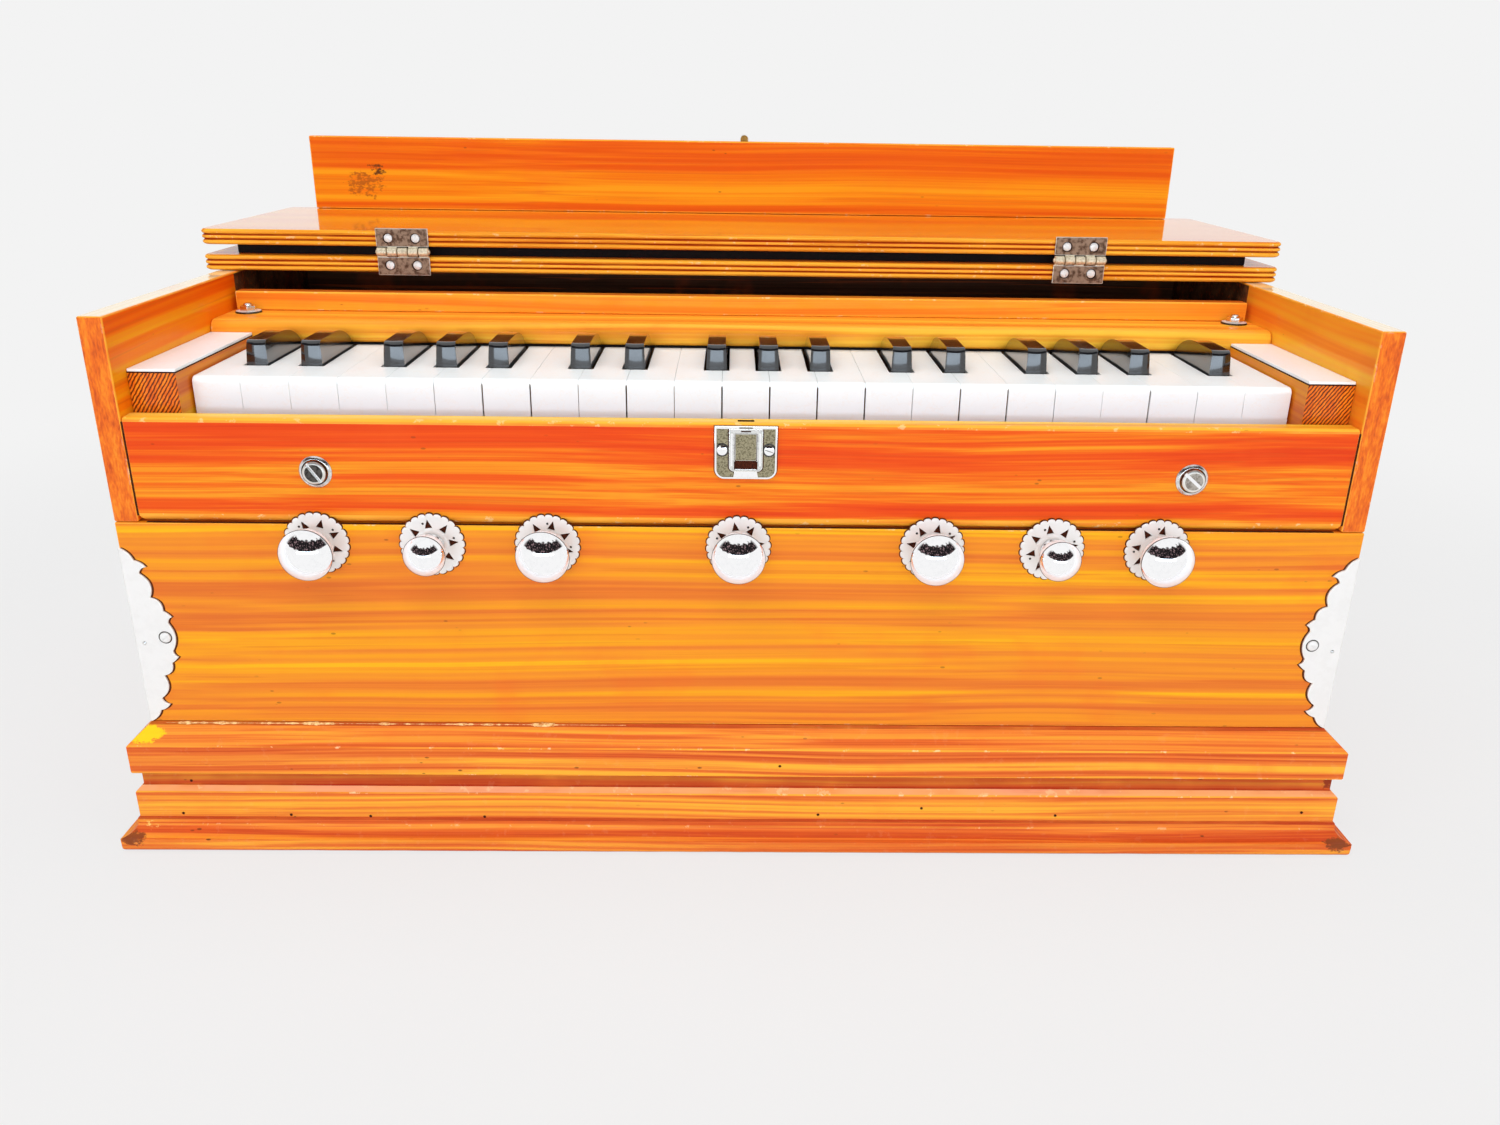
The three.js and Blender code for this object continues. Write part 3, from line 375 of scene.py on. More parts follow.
enamel("black", "black_covering", (16, 17, 20), (40, 42, 48), 0.1, 1.0, 0.3)
# Dark brown for holes, gaps and discs behind parts: painted shade
cloth("felt", "shade_brown_paint", (84, 34, 14), (36, 14, 6), 1500)
# Thin dark lines that stand in for the shadow round plates and rosettes: painted shadow
cloth("outline", "painted_outline_shadow", (104, 46, 12), (70, 28, 8), 900)
# Near black for strips in the gaps under the rail's nose and under the lid flap: painted shade
cloth("shade_black_paint", "shade_black_paint", (26, 22, 22), (12, 10, 10), 1500)
cloth("leather", "bellows_leather", (120, 66, 38), (78, 38, 20), 1100)
cloth("lining", "red_cloth", (112, 34, 12), (70, 18, 6), 1600)
cloth("putty", "joint_putty", (255, 226, 160), (206, 120, 50), 500)


# Mesh tools
def arc(centre_u, centre_v, radius, start, end, steps):
    turns = [math.radians(start + (end - start) * step / steps) for step in range(steps + 1)]
    return [(centre_u + radius * math.cos(turn), centre_v + radius * math.sin(turn)) for turn in turns]


PLACE = {"X": lambda u, v, w: (w, u, v), "Y": lambda u, v, w: (u, w, v), "Z": lambda u, v, w: (u, v, w)}


def prism(axis, outline, low, high, into=None):
    """An outline in the plane across the axis, pushed along it."""
    bm = into or bmesh.new()
    near, far = [[bm.verts.new(PLACE[axis](u, v, w)) for u, v in outline] for w in (low, high)]
    bm.faces.new(near)
    bm.faces.new(far[::-1])
    for here in range(len(outline)):
        there = (here + 1) % len(outline)
        bm.faces.new((near[here], far[here], far[there], near[there]))
    return bm


def block(low, high, into=None):
    (x0, y0, z0), (x1, y1, z1) = low, high
    return prism("Z", [(x0, y0), (x1, y0), (x1, y1), (x0, y1)], z0, z1, into)


def join(bm, rings):
    """Faces between rings of the same number of points, or of one point."""
    for lower, upper in zip(rings, rings[1:]):
        sides = max(len(lower), len(upper))
        for here in range(sides):
            there = (here + 1) % sides
            corners = (lower[here % len(lower)], lower[there % len(lower)],
                       upper[there % len(upper)], upper[here % len(upper)])
            bm.faces.new(list(dict.fromkeys(corners)))


def stack(rings):
    """Closed stack of rings that have the same number of points."""
    bm = bmesh.new()
    made = [[bm.verts.new(point) for point in ring] for ring in rings]
    join(bm, made)
    bm.faces.new(made[0][::-1])
    bm.faces.new(made[-1])
    return bm


def lathe(profile, centre, axis="Y", sides=64, into=None):
    """Points of radius and place along the axis, turned about it. The ends lie on the axis."""
    bm = into or bmesh.new()
    rings = []
    for radius, along in profile:
        turns = [2 * math.pi * k / sides for k in range(sides if radius else 1)]
        points = [PLACE[axis](radius * math.cos(turn), radius * math.sin(turn), along) for turn in turns]
        rings.append([bm.verts.new([c + p for c, p in zip(centre, point)]) for point in points])
    join(bm, rings)
    return bm


def disc(radius, low, high, centre, sides=32, into=None):
    return lathe([(0, low), (radius, low), (radius, high), (0, high)], centre, sides=sides, into=into)


def marked(bm, name):
    return bm.faces.layers.float.get(name) or bm.faces.layers.float.new(name)


def middle_of(face):
    return face.calc_center_median()


def near(value, reach, *places):
    return min(abs(value - place) for place in places) < reach


def bevel(bm, width, segments=2, *tests, angle=28):
    """Rounds the sharp edges whose ends both pass one of the tests, and marks the new faces as worn edges, which the
    materials make paler, partly as painted highlight.
    """
    bmesh.ops.recalc_face_normals(bm, faces=bm.faces)
    wear_and_highlight = marked(bm, "wear_and_highlight")
    edges = [edge for edge in bm.edges
             if len(edge.link_faces) == 2 and edge.calc_face_angle(0) > math.radians(angle)
             and (not tests or any(all(test(vert.co) for vert in edge.verts) for test in tests))]
    made = bmesh.ops.bevel(bm, geom=edges, offset=width, segments=segments, profile=0.5, affect="EDGES",
                           clamp_overlap=True)
    for face in made["faces"]:
        face[wear_and_highlight] = 1.0
    return bm


def slice_at(bm, place, normal):
    """Divides the faces that cross a plane."""
    bmesh.ops.bisect_plane(bm, geom=bm.verts[:] + bm.edges[:] + bm.faces[:], dist=1e-5, plane_co=place,
                           plane_no=normal)


def mesh_of(name, bm, materials, choose=None):
    """The finished mesh. choose gives a face the number of its material."""
    bmesh.ops.recalc_face_normals(bm, faces=bm.faces)
    if choose:
        for face in bm.faces:
            face.material_index = choose(face)
    bmesh.ops.scale(bm, vec=(MM, MM, MM), verts=bm.verts)
    mesh = bpy.data.meshes.new(name)
    bm.to_mesh(mesh)
    bm.free()
    for material in materials.split():
        mesh.materials.append(M[material])
    return mesh


def show(name, mesh, node, body="case", angle=40, matrix=None):
    """Makes the mesh an object that takes a node's place and rides on a body."""
    made = link(name, mesh)
    mesh.shade_smooth()
    mesh.set_sharp_from_angle(angle=math.radians(angle))
    made.modifiers.new("normals", "WEIGHTED_NORMAL").keep_sharp = True
    if matrix:
        made.matrix_world = matrix
    if body:
        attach(made, body)
    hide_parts(node)
    return made


def piece(name, bm, materials, node, body="case", choose=None, angle=40):
    return show(name, mesh_of(name, bm, materials, choose), node, body, angle)


def end_faces(reach):
    """Gives the faces at both ends, beyond reach, the second material."""
    return lambda face: int(abs(face.normal.x) > 0.8 and abs(middle_of(face).x) > reach)


def cut(bm, *cutters):
    """Takes the cutters out of the solid."""
    made = []
    for source in (bm, *cutters):
        bmesh.ops.recalc_face_normals(source, faces=source.faces)
        mesh = bpy.data.meshes.new("cut")
        source.to_mesh(mesh)
        source.free()
        made.append(link("cut", mesh))
    for cutter in made[1:]:
        taken = made[0].modifiers.new("cut", "BOOLEAN")
        taken.operation = "DIFFERENCE"
        taken.object = cutter
        taken.solver = "EXACT"
    bpy.context.view_layer.update()
    result = bmesh.new()
    result.from_mesh(made[0].evaluated_get(bpy.context.evaluated_depsgraph_get()).to_mesh())
    for thing in made:
        mesh = thing.data
        bpy.data.objects.remove(thing)
        bpy.data.meshes.remove(mesh)
    return result


# Sizes read from the frame
JOINT = 0.3
REACH = 16.8
PALLET = 8
STOP_BOARD = 12
cheek_low, cheek_high = span("right_cheek")
inner, front, case_bottom = cheek_low
half_body, case_back, cheek_top = cheek_high
slip_low, slip_high = span("key_slip")
slip_face = slip_low.y
board_top = slip_low.z - JOINT
board_back = front + STOP_BOARD
white_low, white_high = span("white_key_02")
key_front, key_back, key_top, key_bottom = white_low.y, white_high.y, white_high.z, white_low.z + PALLET
plinth_back = span("base_plinth")[1].y - REACH
rail_back = span("key_rail")[1].y - 0.5

# Plinth: four lengths of moulding mitred at the corners, round a base board
MOULDING = ([(-20, 62.5), (0.2, 62.5), (1.3, 61.3), (9.0, 54.3), (9.5, 53.6), (9.5, 39.9), (9.1, 39.2), (6.6, 38.0),
             (6.2, 37.4), (6.2, 32.1), (6.6, 31.3), (8.9, 29.3), (9.3, 28.6), (9.3, 15.4), (10.1, 14.9), (10.2, 14.2)]
            + [(10.2 + 6.6 * (1 + u), 13.2 + 6.0 * v) for u, v in arc(0, 0, 1, 190, 270, 8)]
            + [(REACH, 4.6)] + arc(14.2, 2.6, 2.6, 0, -90, 6)[1:] + [(-20, 0)])
MITRE_GAP = 0.04


def moulding(name, axis, side):
    """side is -1 for the front or left length, 1 for the back or right one. The faces are planed by hand."""
    steps = 120
    start, end = (-half_body, half_body) if axis == "X" else (front, plinth_back)
    face = side * half_body if axis == "Y" else front if side < 0 else plinth_back
    rings = []
    for step in range(steps + 1):
        share = step / steps
        ring = []
        for reach, height in MOULDING:
            along = (start - reach + MITRE_GAP) * (1 - share) + (end + reach - MITRE_GAP) * share
            planed = 0 < reach and 0 < step < steps
            wave = 0.3 * abs(noise.noise((along * 0.045, height * 0.06, side * 7))) if planed else 0
            out = face + side * (reach - wave)
            ring.append((along, out, height) if axis == "X" else (out, along, height))
        rings.append(ring)
    bm = stack(rings)
    # Painted light by height: a pinkish painted highlight on two slopes, paler edges that are partly rubbed and partly
    # painted highlight, and darker red in the hollows and under the foot, partly gathered varnish and partly painted
    # shade
    wear_and_highlight, pool_and_shade, painted_sheen = marked(bm, "wear_and_highlight"), marked(bm, "pool_and_shade"), marked(bm, "painted_sheen")
    for found in bm.faces:
        height = middle_of(found).z
        found[painted_sheen] = 0.75 if 29.3 < height < 31.3 else 0.3 if 54.3 < height < 57 else 0.0
        found[wear_and_highlight] = (0.45 if 29.3 < height < 31.2 or 11.4 < height < 13.1 else
                       1.0 if near(height, 0.5, 53.95, 39.6, 28.9, 4.6) else 0.05)
        found[pool_and_shade] = (0.65 if 32 < height < 37.6 else 1.0 if 37.5 < height < 39.2 or 31.2 < height < 32 else
                       0.8 if 13.6 < height < 15.6 or 61.2 < height < 62.4 else 0.6 if height < 1.2 else 0.0)
    piece(name, bm, "plinth_" + axis.lower(), "base_plinth", angle=24)


for name, axis, side in (("front", "X", -1), ("back", "X", 1), ("left", "Y", -1), ("right", "Y", 1)):
    moulding("plinth_moulding_" + name, axis, side)
inset = 20.3
piece("base_board", block((-half_body + inset, front + inset, 0.2), (half_body - inset, plinth_back - inset, 10)),
      "bare_x", "base_plinth")
piece("plinth_back_rail", block((-half_body + inset, case_back - 20, 45),
                                (half_body - inset, plinth_back - inset, 62.4)), "bare_x", "base_plinth")

NAIL_HOLES = [(-271, 17.2), (-219, 16.6), (-217.4, 14.9), (-226.8, 14.7), (-180.6, 16), (-125.3, 16), (37.5, 18),
              (154.1, 18.2), (275.6, 20.6), (-266, 33.5), (18.2, 45.2), (88, 22)]
for index, (x, height) in enumerate(NAIL_HOLES):
    # A shallow dark plug in place of the hole: painted shade
    hole = lathe([(0, -0.02), (0.4, -0.03), (0.7, -0.08), (0.6, 0.3), (0, 0.3)],
                 (x, front - (6.2 if 31 < height < 38 else 9.4), height), sides=14)
    piece("plinth_nail_hole_%d" % (index + 1), hole, "felt", "base_plinth")

# Old filler that has crept out of the joint between the plinth and the stop board
rings = []
for step in range(221):
    x = -276 + step
    lump = noise.noise((x * 0.11, 3.1, 0.4)) + 0.6 * noise.noise((x * 0.43, 5.3, 0.4))
    size = 0.15 + 1.7 * max(0.0, lump + 0.12) * (1.0 if x < -90 else 0.25)
    rings.append([(x, front - 0.6 - size * u, 62.1 + size * 0.6 * v) for u, v in arc(-0.1, 0, 1, -100, 100, 8)])
piece("joint_filler", stack(rings), "putty", "base_plinth", angle=60)

# Cheeks
for side, name in SIDES:
    outline = [(case_back, case_bottom), (case_back, cheek_top), (front, cheek_top), (front, board_top + JOINT),
               (board_back + JOINT, board_top + JOINT), (board_back + JOINT, case_bottom)]
    bm = bevel(prism("X", outline, *sorted((side * inner, side * half_body))), 0.9, 3)
    slice_at(bm, (0, rail_back, 0), (0, 1, 0))

    def cheek_material(face):
        middle = middle_of(face)
        # Top face: pale cream, painted reflection
        if face.normal.z > 0.8 and middle.z > cheek_top - 1:
            return 2
        # Inner face behind the rail: dark inside wood, darkened as painted shade
        if side * face.normal.x < -0.8 and middle.y > rail_back:
            return 3
        return int(abs(face.normal.y) > 0.8)

    piece(name + "_cheek_board", bm, "cheek_%s end cheek_top inside" % name, name + "_cheek", choose=cheek_material)

# Stop board with its holes
stops = []
for number in range(1, 8):
    low, high = span("draw_stop_%d" % number)
    stops.append(((low.x + high.x) / 2, (high.x - low.x) / 2))
stop_height = (low.z + high.z) / 2
bm = bevel(block((-half_body, front, case_bottom), (half_body, board_back, board_top)), 0.5)
holes = bmesh.new()
for x, radius in stops:
    disc(4, -16, 16, (x, front, stop_height), 24, holes)
piece("stop_board_panel", cut(bm, holes), "stop_board end", "stop_board", choose=end_faces(half_body - 0.6))

# Rosettes: scalloped rings with eight wedges cut out and four small nails
LOBE = 12
ROSETTE_SIDES = 24 * LOBE
NAIL_CIRCLE = 10.6
TWIST = 0.37


def rosette_solid():
    def ring(radius, depth, lobe=0.0):
        points = []
        for k in range(ROSETTE_SIDES):
            across = 2 * (k / LOBE % 1) - 1
            r = radius - lobe * (1 - math.sqrt(1 - across * across))
            turn = 2 * math.pi * k / ROSETTE_SIDES
            points.append(bm.verts.new((r * math.cos(turn), -depth, r * math.sin(turn))))
        return points

    bm = bmesh.new()
    rings = [ring(4.8, 0.3), ring(14.5, 0.3, 1.1), ring(14.7, 0.5, 1.1), ring(14.4, 0.85, 1.1), ring(13.7, 0.98, 0.8),
             ring(12.9, 0.9), ring(7.6, 1.0), ring(7.0, 1.3), ring(5.2, 1.3), ring(4.8, 1.1)]
    join(bm, rings + rings[:1])
    wedges = bmesh.new()
    for index in range(8):
        turn = Matrix.Rotation(math.pi * index / 4 + 0.3, 4, "Y")
        corners = [turn @ Vector(point) for point in ((-1.75, 0, 7.9), (0, 0, 12.2), (1.75, 0, 7.9))]
        prism("Y", [(corner.x, corner.z) for corner in corners], -3, 1, wedges)
    bm = cut(bm, wedges)
    for index in range(4):
        angle = math.pi * index / 2 + 0.3 + math.pi / 8
        lathe([(0, -0.9), (0.45, -0.9), (0.55, -1.1), (0.35, -1.3), (0, -1.35)],
              (NAIL_CIRCLE * math.cos(angle), 0, NAIL_CIRCLE * math.sin(angle)), sides=12, into=bm)
    return bm


def rosette_material(face):
    middle = middle_of(face)
    return int(near(math.hypot(middle.x, middle.z), 0.7, NAIL_CIRCLE) and len(face.verts) < 5
               and -1.36 < middle.y < -0.88 and face.calc_area() < 0.2)


rosette = mesh_of("rosette", rosette_solid(), "plate dark_metal", rosette_material)
for index, (x, radius) in enumerate(stops):
    name = "rosette_%d" % (index + 1)
    turn = Matrix.Translation(Vector((x, front, stop_height)) * MM) @ Matrix.Rotation(TWIST * index, 4, "Y")
    show(name, rosette, "stop_board", matrix=turn, angle=35)
    # A dark disc behind the rosette, seen through its wedges: painted shade
    piece(name + "_felt", disc(12.4, -0.02, -0.25, (x, front, stop_height), 48), "felt", "stop_board")
    # A dark line round the rosette's scalloped edge: painted shadow
    edge = [(14.05 + 1.15 * math.sqrt(1 - (2 * (k / LOBE % 1) - 1) ** 2),
             2 * math.pi * k / ROSETTE_SIDES - TWIST * index) for k in range(ROSETTE_SIDES)]
    shade = prism("Y", [(x + r * math.cos(turn), stop_height + r * math.sin(turn)) for r, turn in edge],
                  front - 0.06, front + 0.05)
    piece(name + "_painted_shadow_line", shade, "outline", "stop_board")

# Draw stops
for index, (x, radius) in enumerate(stops):
    name = "draw_stop_%d" % (index + 1)
    neck = 5.4
    flare = [(neck + (radius - 0.3 - neck) * u, -7 - 8.4 * (1 + v)) for u, v in arc(0, 0, 1, -90, 0, 12)]
    rim = [(radius - 0.05, -15.6), (radius, -15.75), (radius, -16.0), (radius - 0.1, -16.1)]
    shoulder = math.sin(math.radians(34))
    dome = [((radius - 0.2) * u / math.sqrt(1 - shoulder ** 2), -16.1 - 5.9 * (v - shoulder) / (1 - shoulder))
            for u, v in arc(0, 0, 1, 34, 90, 26)][:-1]
    profile = ([(0, 44), (3.4, 44), (3.4, -1.6), (neck, -1.6), (neck, -2.2), (neck - 0.8, -3.4), (neck - 0.8, -5.8),
                (neck, -7)] + flare[1:] + rim + dome + [(0, -22)])
    piece(name + "_knob", lathe(profile, (x, front, stop_height), sides=96), "knob dark_metal", name, name,
          lambda face: int(15.4 < front - middle_of(face).y < 16.12), 50)


# Screws: one slotted head, placed and scaled for each
def screw_mesh(material):
    head = lathe([(0, 0.3), (1, 0.3), (1, -0.08), (0.9, -0.24), (0.6, -0.36), (0.3, -0.41), (0, -0.43)], (0, 0, 0),
                 sides=32)
    return mesh_of("screw_head_" + material, cut(head, block((-1.2, -1, -0.13), (1.2, -0.2, 0.13))), material)


SCREWS = {material: screw_mesh(material) for material in ("chrome", "steel", "plate")}


def screw(name, place, radius, angle, node, material="chrome", body="case", facing=Matrix.Identity(4)):
    """A head that faces the player, or the way that facing turns it."""
    matrix = (Matrix.Translation(Vector(place) * MM) @ facing
              @ Matrix.Rotation(math.radians(angle), 4, "Y") @ Matrix.Scale(radius, 4))
    show(name, SCREWS[material], node, body, 35, matrix)


# Corner plates, bent round the lower front corners: distance from the corner, height and bulge of each edge
EDGE = [(0, 1, 0), (0.28, 0.865, 0.05), (0.52, 0.79, 0.03), (0.35, 0.72, -0.04), (0.5, 0.45, 0.13), (0.73, 0.3, 0.09),
        (0.9, 0.23, 0.01), (0.8, 0.16, -0.03)]
PLATE_WIDTH = 20.5
PLATE_GAP = 0.025
plate_half = 0.881 * (board_top - case_bottom) / 2
plate_middle = case_bottom + plate_half


def plate_edge():
    """Points down the plate's edge as distance from the corner and height about its middle."""
    bulges = [bulge for across, up, bulge in EDGE[1:]] + [0.11]
    lower = [(across, -up, bulge) for (across, up, unused), bulge in zip(EDGE, bulges)][::-1]
    corners = [Vector((across * PLATE_WIDTH, up * plate_half, bulge * PLATE_WIDTH))
               for across, up, bulge in EDGE + lower]
    points = [(corners[0].x, corners[0].y)]
    for start, end in zip(corners, corners[1:]):
        out = Vector((start.y - end.y, end.x - start.x)).normalized() * 2 * end.z
        control = (start.xy + end.xy) / 2 + out
        for step in range(1, 9):
            t = step / 8
            point = start.xy * (1 - t) ** 2 + control * 2 * t * (1 - t) + end.xy * t * t
            points.append((point.x, point.y))
    return points


def corner_plate(side, name):
    bend, thickness = 0.9, 0.85
    quarter = math.pi / 4 * (bend + thickness / 2)
    edge = [(across - bend + quarter, up) for across, up in plate_edge()]
    bm = prism("Y", edge + [(-across, up) for across, up in edge[::-1]], 0, thickness)
    for third in range(-3, 4):
        slice_at(bm, (quarter * third / 3, 0, 0), (1, 0, 0))
    bevel(bm, 0.28, 2, lambda p: p.y > thickness - 0.01, angle=60)
    for vert in bm.verts:
        along, depth, up = vert.co
        if along > quarter:
            x, y = half_body - bend - (along - quarter), front + bend - (bend + depth)
        elif along < -quarter:
            x, y = half_body - bend + bend + depth, front + bend + (-along - quarter)
        else:
            angle = -math.pi / 4 - along / (bend + thickness / 2)
            x = half_body - bend + (bend + depth) * math.cos(angle)
            y = front + bend + (bend + depth) * math.sin(angle)
        vert.co = (side * (x + PLATE_GAP), y, plate_middle + up)
    piece(name, bm, "plate", "stop_board", angle=35)
    # A dark line round the plate's scalloped edge: painted shadow
    line = [(side * (half_body - 0.4 - across - 0.42), plate_middle + up * 1.004) for across, up in plate_edge()[::-1]]
    line += [(side * (half_body - 1), line[-1][1]), (side * (half_body - 1), line[0][1])]
    piece(name + "_painted_shadow_line", prism("Y", line, front - 0.07, front + 0.05), "outline", "stop_board")


for side, name in SIDES:
    corner_plate(side, name + "_corner_plate")
    place = (side * (half_body - 14), front - 0.8, plate_middle)
    # A dark disc round the screw head: painted shadow ring
    piece(name + "_plate_screw_seat", disc(3.1, 0.1, -0.1, place), "dark_metal", "stop_board")
    screw(name + "_plate_screw", place, 2.6, 35 * side, "stop_board", "plate")
    screw(name + "_plate_side_screw", (side * (half_body + 0.8), front + 14, plate_middle), 2.6, 60, "stop_board",
          "steel", facing=Matrix.Rotation(math.radians(90 * side), 4, "Z"))
    nail = lathe([(0, 0.3), (0.9, 0.3), (0.9, -0.25), (0.5, -0.5), (0, -0.55)],
                 (side * (half_body - 4), front - 0.85, plate_middle - 3), sides=20)
    piece(name + "_plate_nail", nail, "steel", "stop_board")

# Key slip, its mortise and two screws in cup washers
half = inner - JOINT
outline = [(slip_high.y, slip_low.z), (slip_face, slip_low.z)] + arc(slip_face + 2, slip_high.z - 2, 2, 180, 90, 6)
bm = prism("X", outline + [(slip_high.y, slip_high.z)], -half, half)
# The rounded top edge is made pale: worn and painted highlight
wear_and_highlight = marked(bm, "wear_and_highlight")
for face in bm.faces:
    middle = middle_of(face)
    face[wear_and_highlight] = 0.8 if middle.z > slip_high.z - 2 and middle.y < slip_face + 2 else 0.0
bevel(bm, 4, 5, lambda p: p.z < slip_low.z + 0.01 and abs(p.x) > half - 0.01)
bevel(bm, 0.5)
mortise = block((-3.7, front + 4, slip_high.z - 4.7), (3.7, front + 7, slip_high.z + 3))


def slip_material(face):
    middle = middle_of(face)
    # Mortise faces: dark, as painted shade
    if abs(middle.x) < 3.71 and front + 3.99 < middle.y < front + 7.01 and middle.z < slip_high.z - 0.1:
        return 3
    # Top face: paler wood with a painted highlight
    if face.normal.z > 0.6 and middle.z > slip_high.z - 2:
        return 2
    return end_faces(half - 1)(face)


piece("key_slip_board", cut(bm, mortise), "slip end slip_top felt", "key_slip", choose=slip_material)
# Dark strips in the joints at the slip's ends and under it: painted shadow in the gaps
for side, name in SIDES:
    start, end = sorted((side * (half - 0.4), side * (inner + 0.2)))
    bm = block((start, slip_face - 0.12, slip_low.z + 3), (end, slip_face + 1.5, slip_high.z - 2))
    piece(name + "_slip_shadow_strip", bevel(bm, 0.08, 1), "felt", "key_slip")
bm = block((3 - half, slip_face - 0.1, slip_low.z - 0.28), (half - 3, slip_face + 1.5, slip_low.z + 0.02))
piece("slip_joint_below", bevel(bm, 0.08, 1), "felt", "key_slip")
SLIP_SCREW_HEIGHT = 187.7
for name, x, material, angle in (("left", -190.3, "dark_metal", -55), ("right", 199.9, "grey_metal", -40)):
    place = (x, slip_face, SLIP_SCREW_HEIGHT)
    washer = lathe([(0, 0.3), (7.4, 0.3), (7.4, -0.2), (7.2, -0.5), (6.4, -1.1), (5.9, -1.2), (5.5, -0.7), (5.4, 0.1),
                    (0, 0.1)], place, sides=56)
    piece(name + "_slip_washer", washer, "steel", "key_slip")
    head = lathe([(0, 0.2), (5.1, 0.2), (5.2, -2.0), (5.1, -2.5), (4.6, -2.85), (4.0, -2.95), (0, -2.95)], (0, 0, 0),
                 sides=44)
    bm = cut(head, block((-7, -5, -0.7), (7, -1.9, 0.7)))
    # The rim of the head is made bright: rubbed plating and painted highlight
    wear_and_highlight = marked(bm, "wear_and_highlight")
    for face in bm.faces:
        reach = max(math.hypot(v.co.x, v.co.z) for v in face.verts)
        face[wear_and_highlight] = 1.0 if reach > 4.5 and -2.94 < middle_of(face).y < -2.05 else 0.0
    bmesh.ops.rotate(bm, verts=bm.verts, cent=(0, 0, 0), matrix=Matrix.Rotation(math.radians(-angle), 3, "Y"))
    bmesh.ops.translate(bm, verts=bm.verts, vec=place)
    piece(name + "_slip_screw", bm, material + " chrome", "key_slip", angle=30,
          choose=lambda face: int(middle_of(face).y > slip_face - 2.0 and face.normal.y < -0.9))

# Catch plate: a base with a folded rim, a bezel round a textured window, a slot and a tab
catch_low, catch_high = span("catch_plate")
top, bottom, back = catch_high.z, catch_low.z, slip_face - 0.02


def shield(half_width, upper, lower, corner):
    """An upright plate outline with round lower corners."""
    return ([(half_width, upper), (-half_width, upper)]
            + arc(corner - half_width, lower + corner, corner, 180, 270, 10)
            + arc(half_width - corner, lower + corner, corner, 270, 360, 10))


def plate(outline, low, high, edge):
    return bevel(prism("Y", outline, back - high, back - low), edge, 2, lambda p: p.y < back - high + 0.01)


def opening(half_width, upper, lower, ahead=-4, behind=1):
    return block((-half_width, back + ahead, top - lower), (half_width, back + behind, top - upper))


def catch(name, bm, material):
    piece("catch_" + name, bm, material, "catch_plate")


lining = block((-5.2, back - 0.3, top - 19.3), (5.2, back - 0.05, top - 16.1))
for x in (-5.0, 5.0):
    block((x - 0.4, back - 0.9, top - 19.2), (x + 0.4, back - 0.2, top - 16.2), lining)
catch("mouth_lining", lining, "lining")
# A dark line round the base plate: painted shadow
shade = prism("Y", shield(14.2, top + 0.1, bottom - 0.4, 4.7), back - 0.06, back + 0.04)
catch("painted_shadow_line", shade, "outline")
# A dark sheet just behind the bezel's edge: painted shadow round it
shade = prism("Y", shield(7.95, top - 0.9, top - 21.0, 2.7), back - 1.06, back - 0.9)
catch("window_gap", shade, "felt")
base = shield(13.8, top, bottom, 4.4)
catch("base_plate", cut(plate(base, 0, 0.95, 0.15), opening(5.35, 16.0, 19.4, -5, 2)), "catch")
catch("rim", cut(plate(base, 0.9, 1.45, 0.25),
                 prism("Y", shield(12.95, top - 1.15, bottom + 0.85, 3.6), back - 4, back + 1),
                 opening(3, 0.35, 0.95)), "chrome")
catch("bezel", cut(plate(shield(7.5, top - 1.1, top - 20.6, 2.4), 0.9, 1.75, 0.3),
                   prism("Y", shield(4.95, top - 3.2, top - 15.9, 0.8), back - 4, back + 1),
                   opening(5.2, 15.8, 19.5), opening(2.2, 1.9, 2.5)), "steel")
for side, name in SIDES:
    x = 6.3 * side
    bead = plate([(x + 0.5, top - 3), (x - 0.5, top - 3), (x - 0.5, top - 18), (x + 0.5, top - 18)], 1.7, 1.95, 0.1)
    catch("bezel_bead_" + name, bead, "chrome")
catch("window", plate(shield(4.7, top - 3.5, top - 15.6, 0.6), 0.9, 1.3, 0.2), "catch")
tab = [(4.8, top - 19.3), (-4.8, top - 19.3), (-5.6, bottom + 0.8), (5.6, bottom + 0.8)]
catch("tab", plate(tab, 0.9, 1.6, 0.3), "chrome")
CATCH_SCREW_HEIGHT = 199.8
for name, x, angle in (("left", -10.5, 62), ("right", 10.3, 18)):
    # A dark disc round the screw head: painted shadow ring
    seat = lathe([(0, 0.1), (3.1, 0.1), (3.1, -0.12), (2.7, -0.16), (0, -0.16)],
                 (x, back - 0.95, CATCH_SCREW_HEIGHT), sides=32)
    catch("screw_seat_" + name, seat, "dark_metal")
    screw("catch_screw_" + name, (x, back - 1.15, CATCH_SCREW_HEIGHT), 2.5, angle, "catch_plate")

# End blocks with white tops
for side, name in SIDES:
    node = name + "_end_block"
    low, high = span(node)
    bm = bevel(block(low, (high.x, high.y, high.z - 1.5)), 0.5, 2, lambda p: p.z > low.z + 1)
    piece(node + "_wood", bm, "block sawn", node, choose=lambda face: int(face.normal.y < -0.8))
    bm = bevel(block((low.x, low.y, high.z - 1.35), high), 0.3)
    piece(node + "_top", bm, "white", node)
    # A dark line under the white top: glue line and painted shadow
    bm = block((low.x - 0.08, low.y - 0.1, high.z - 1.9), (high.x + 0.08, high.y - 0.1, high.z - 1.25))
    piece(node + "_glue", bevel(bm, 0.06, 1), "felt", node)

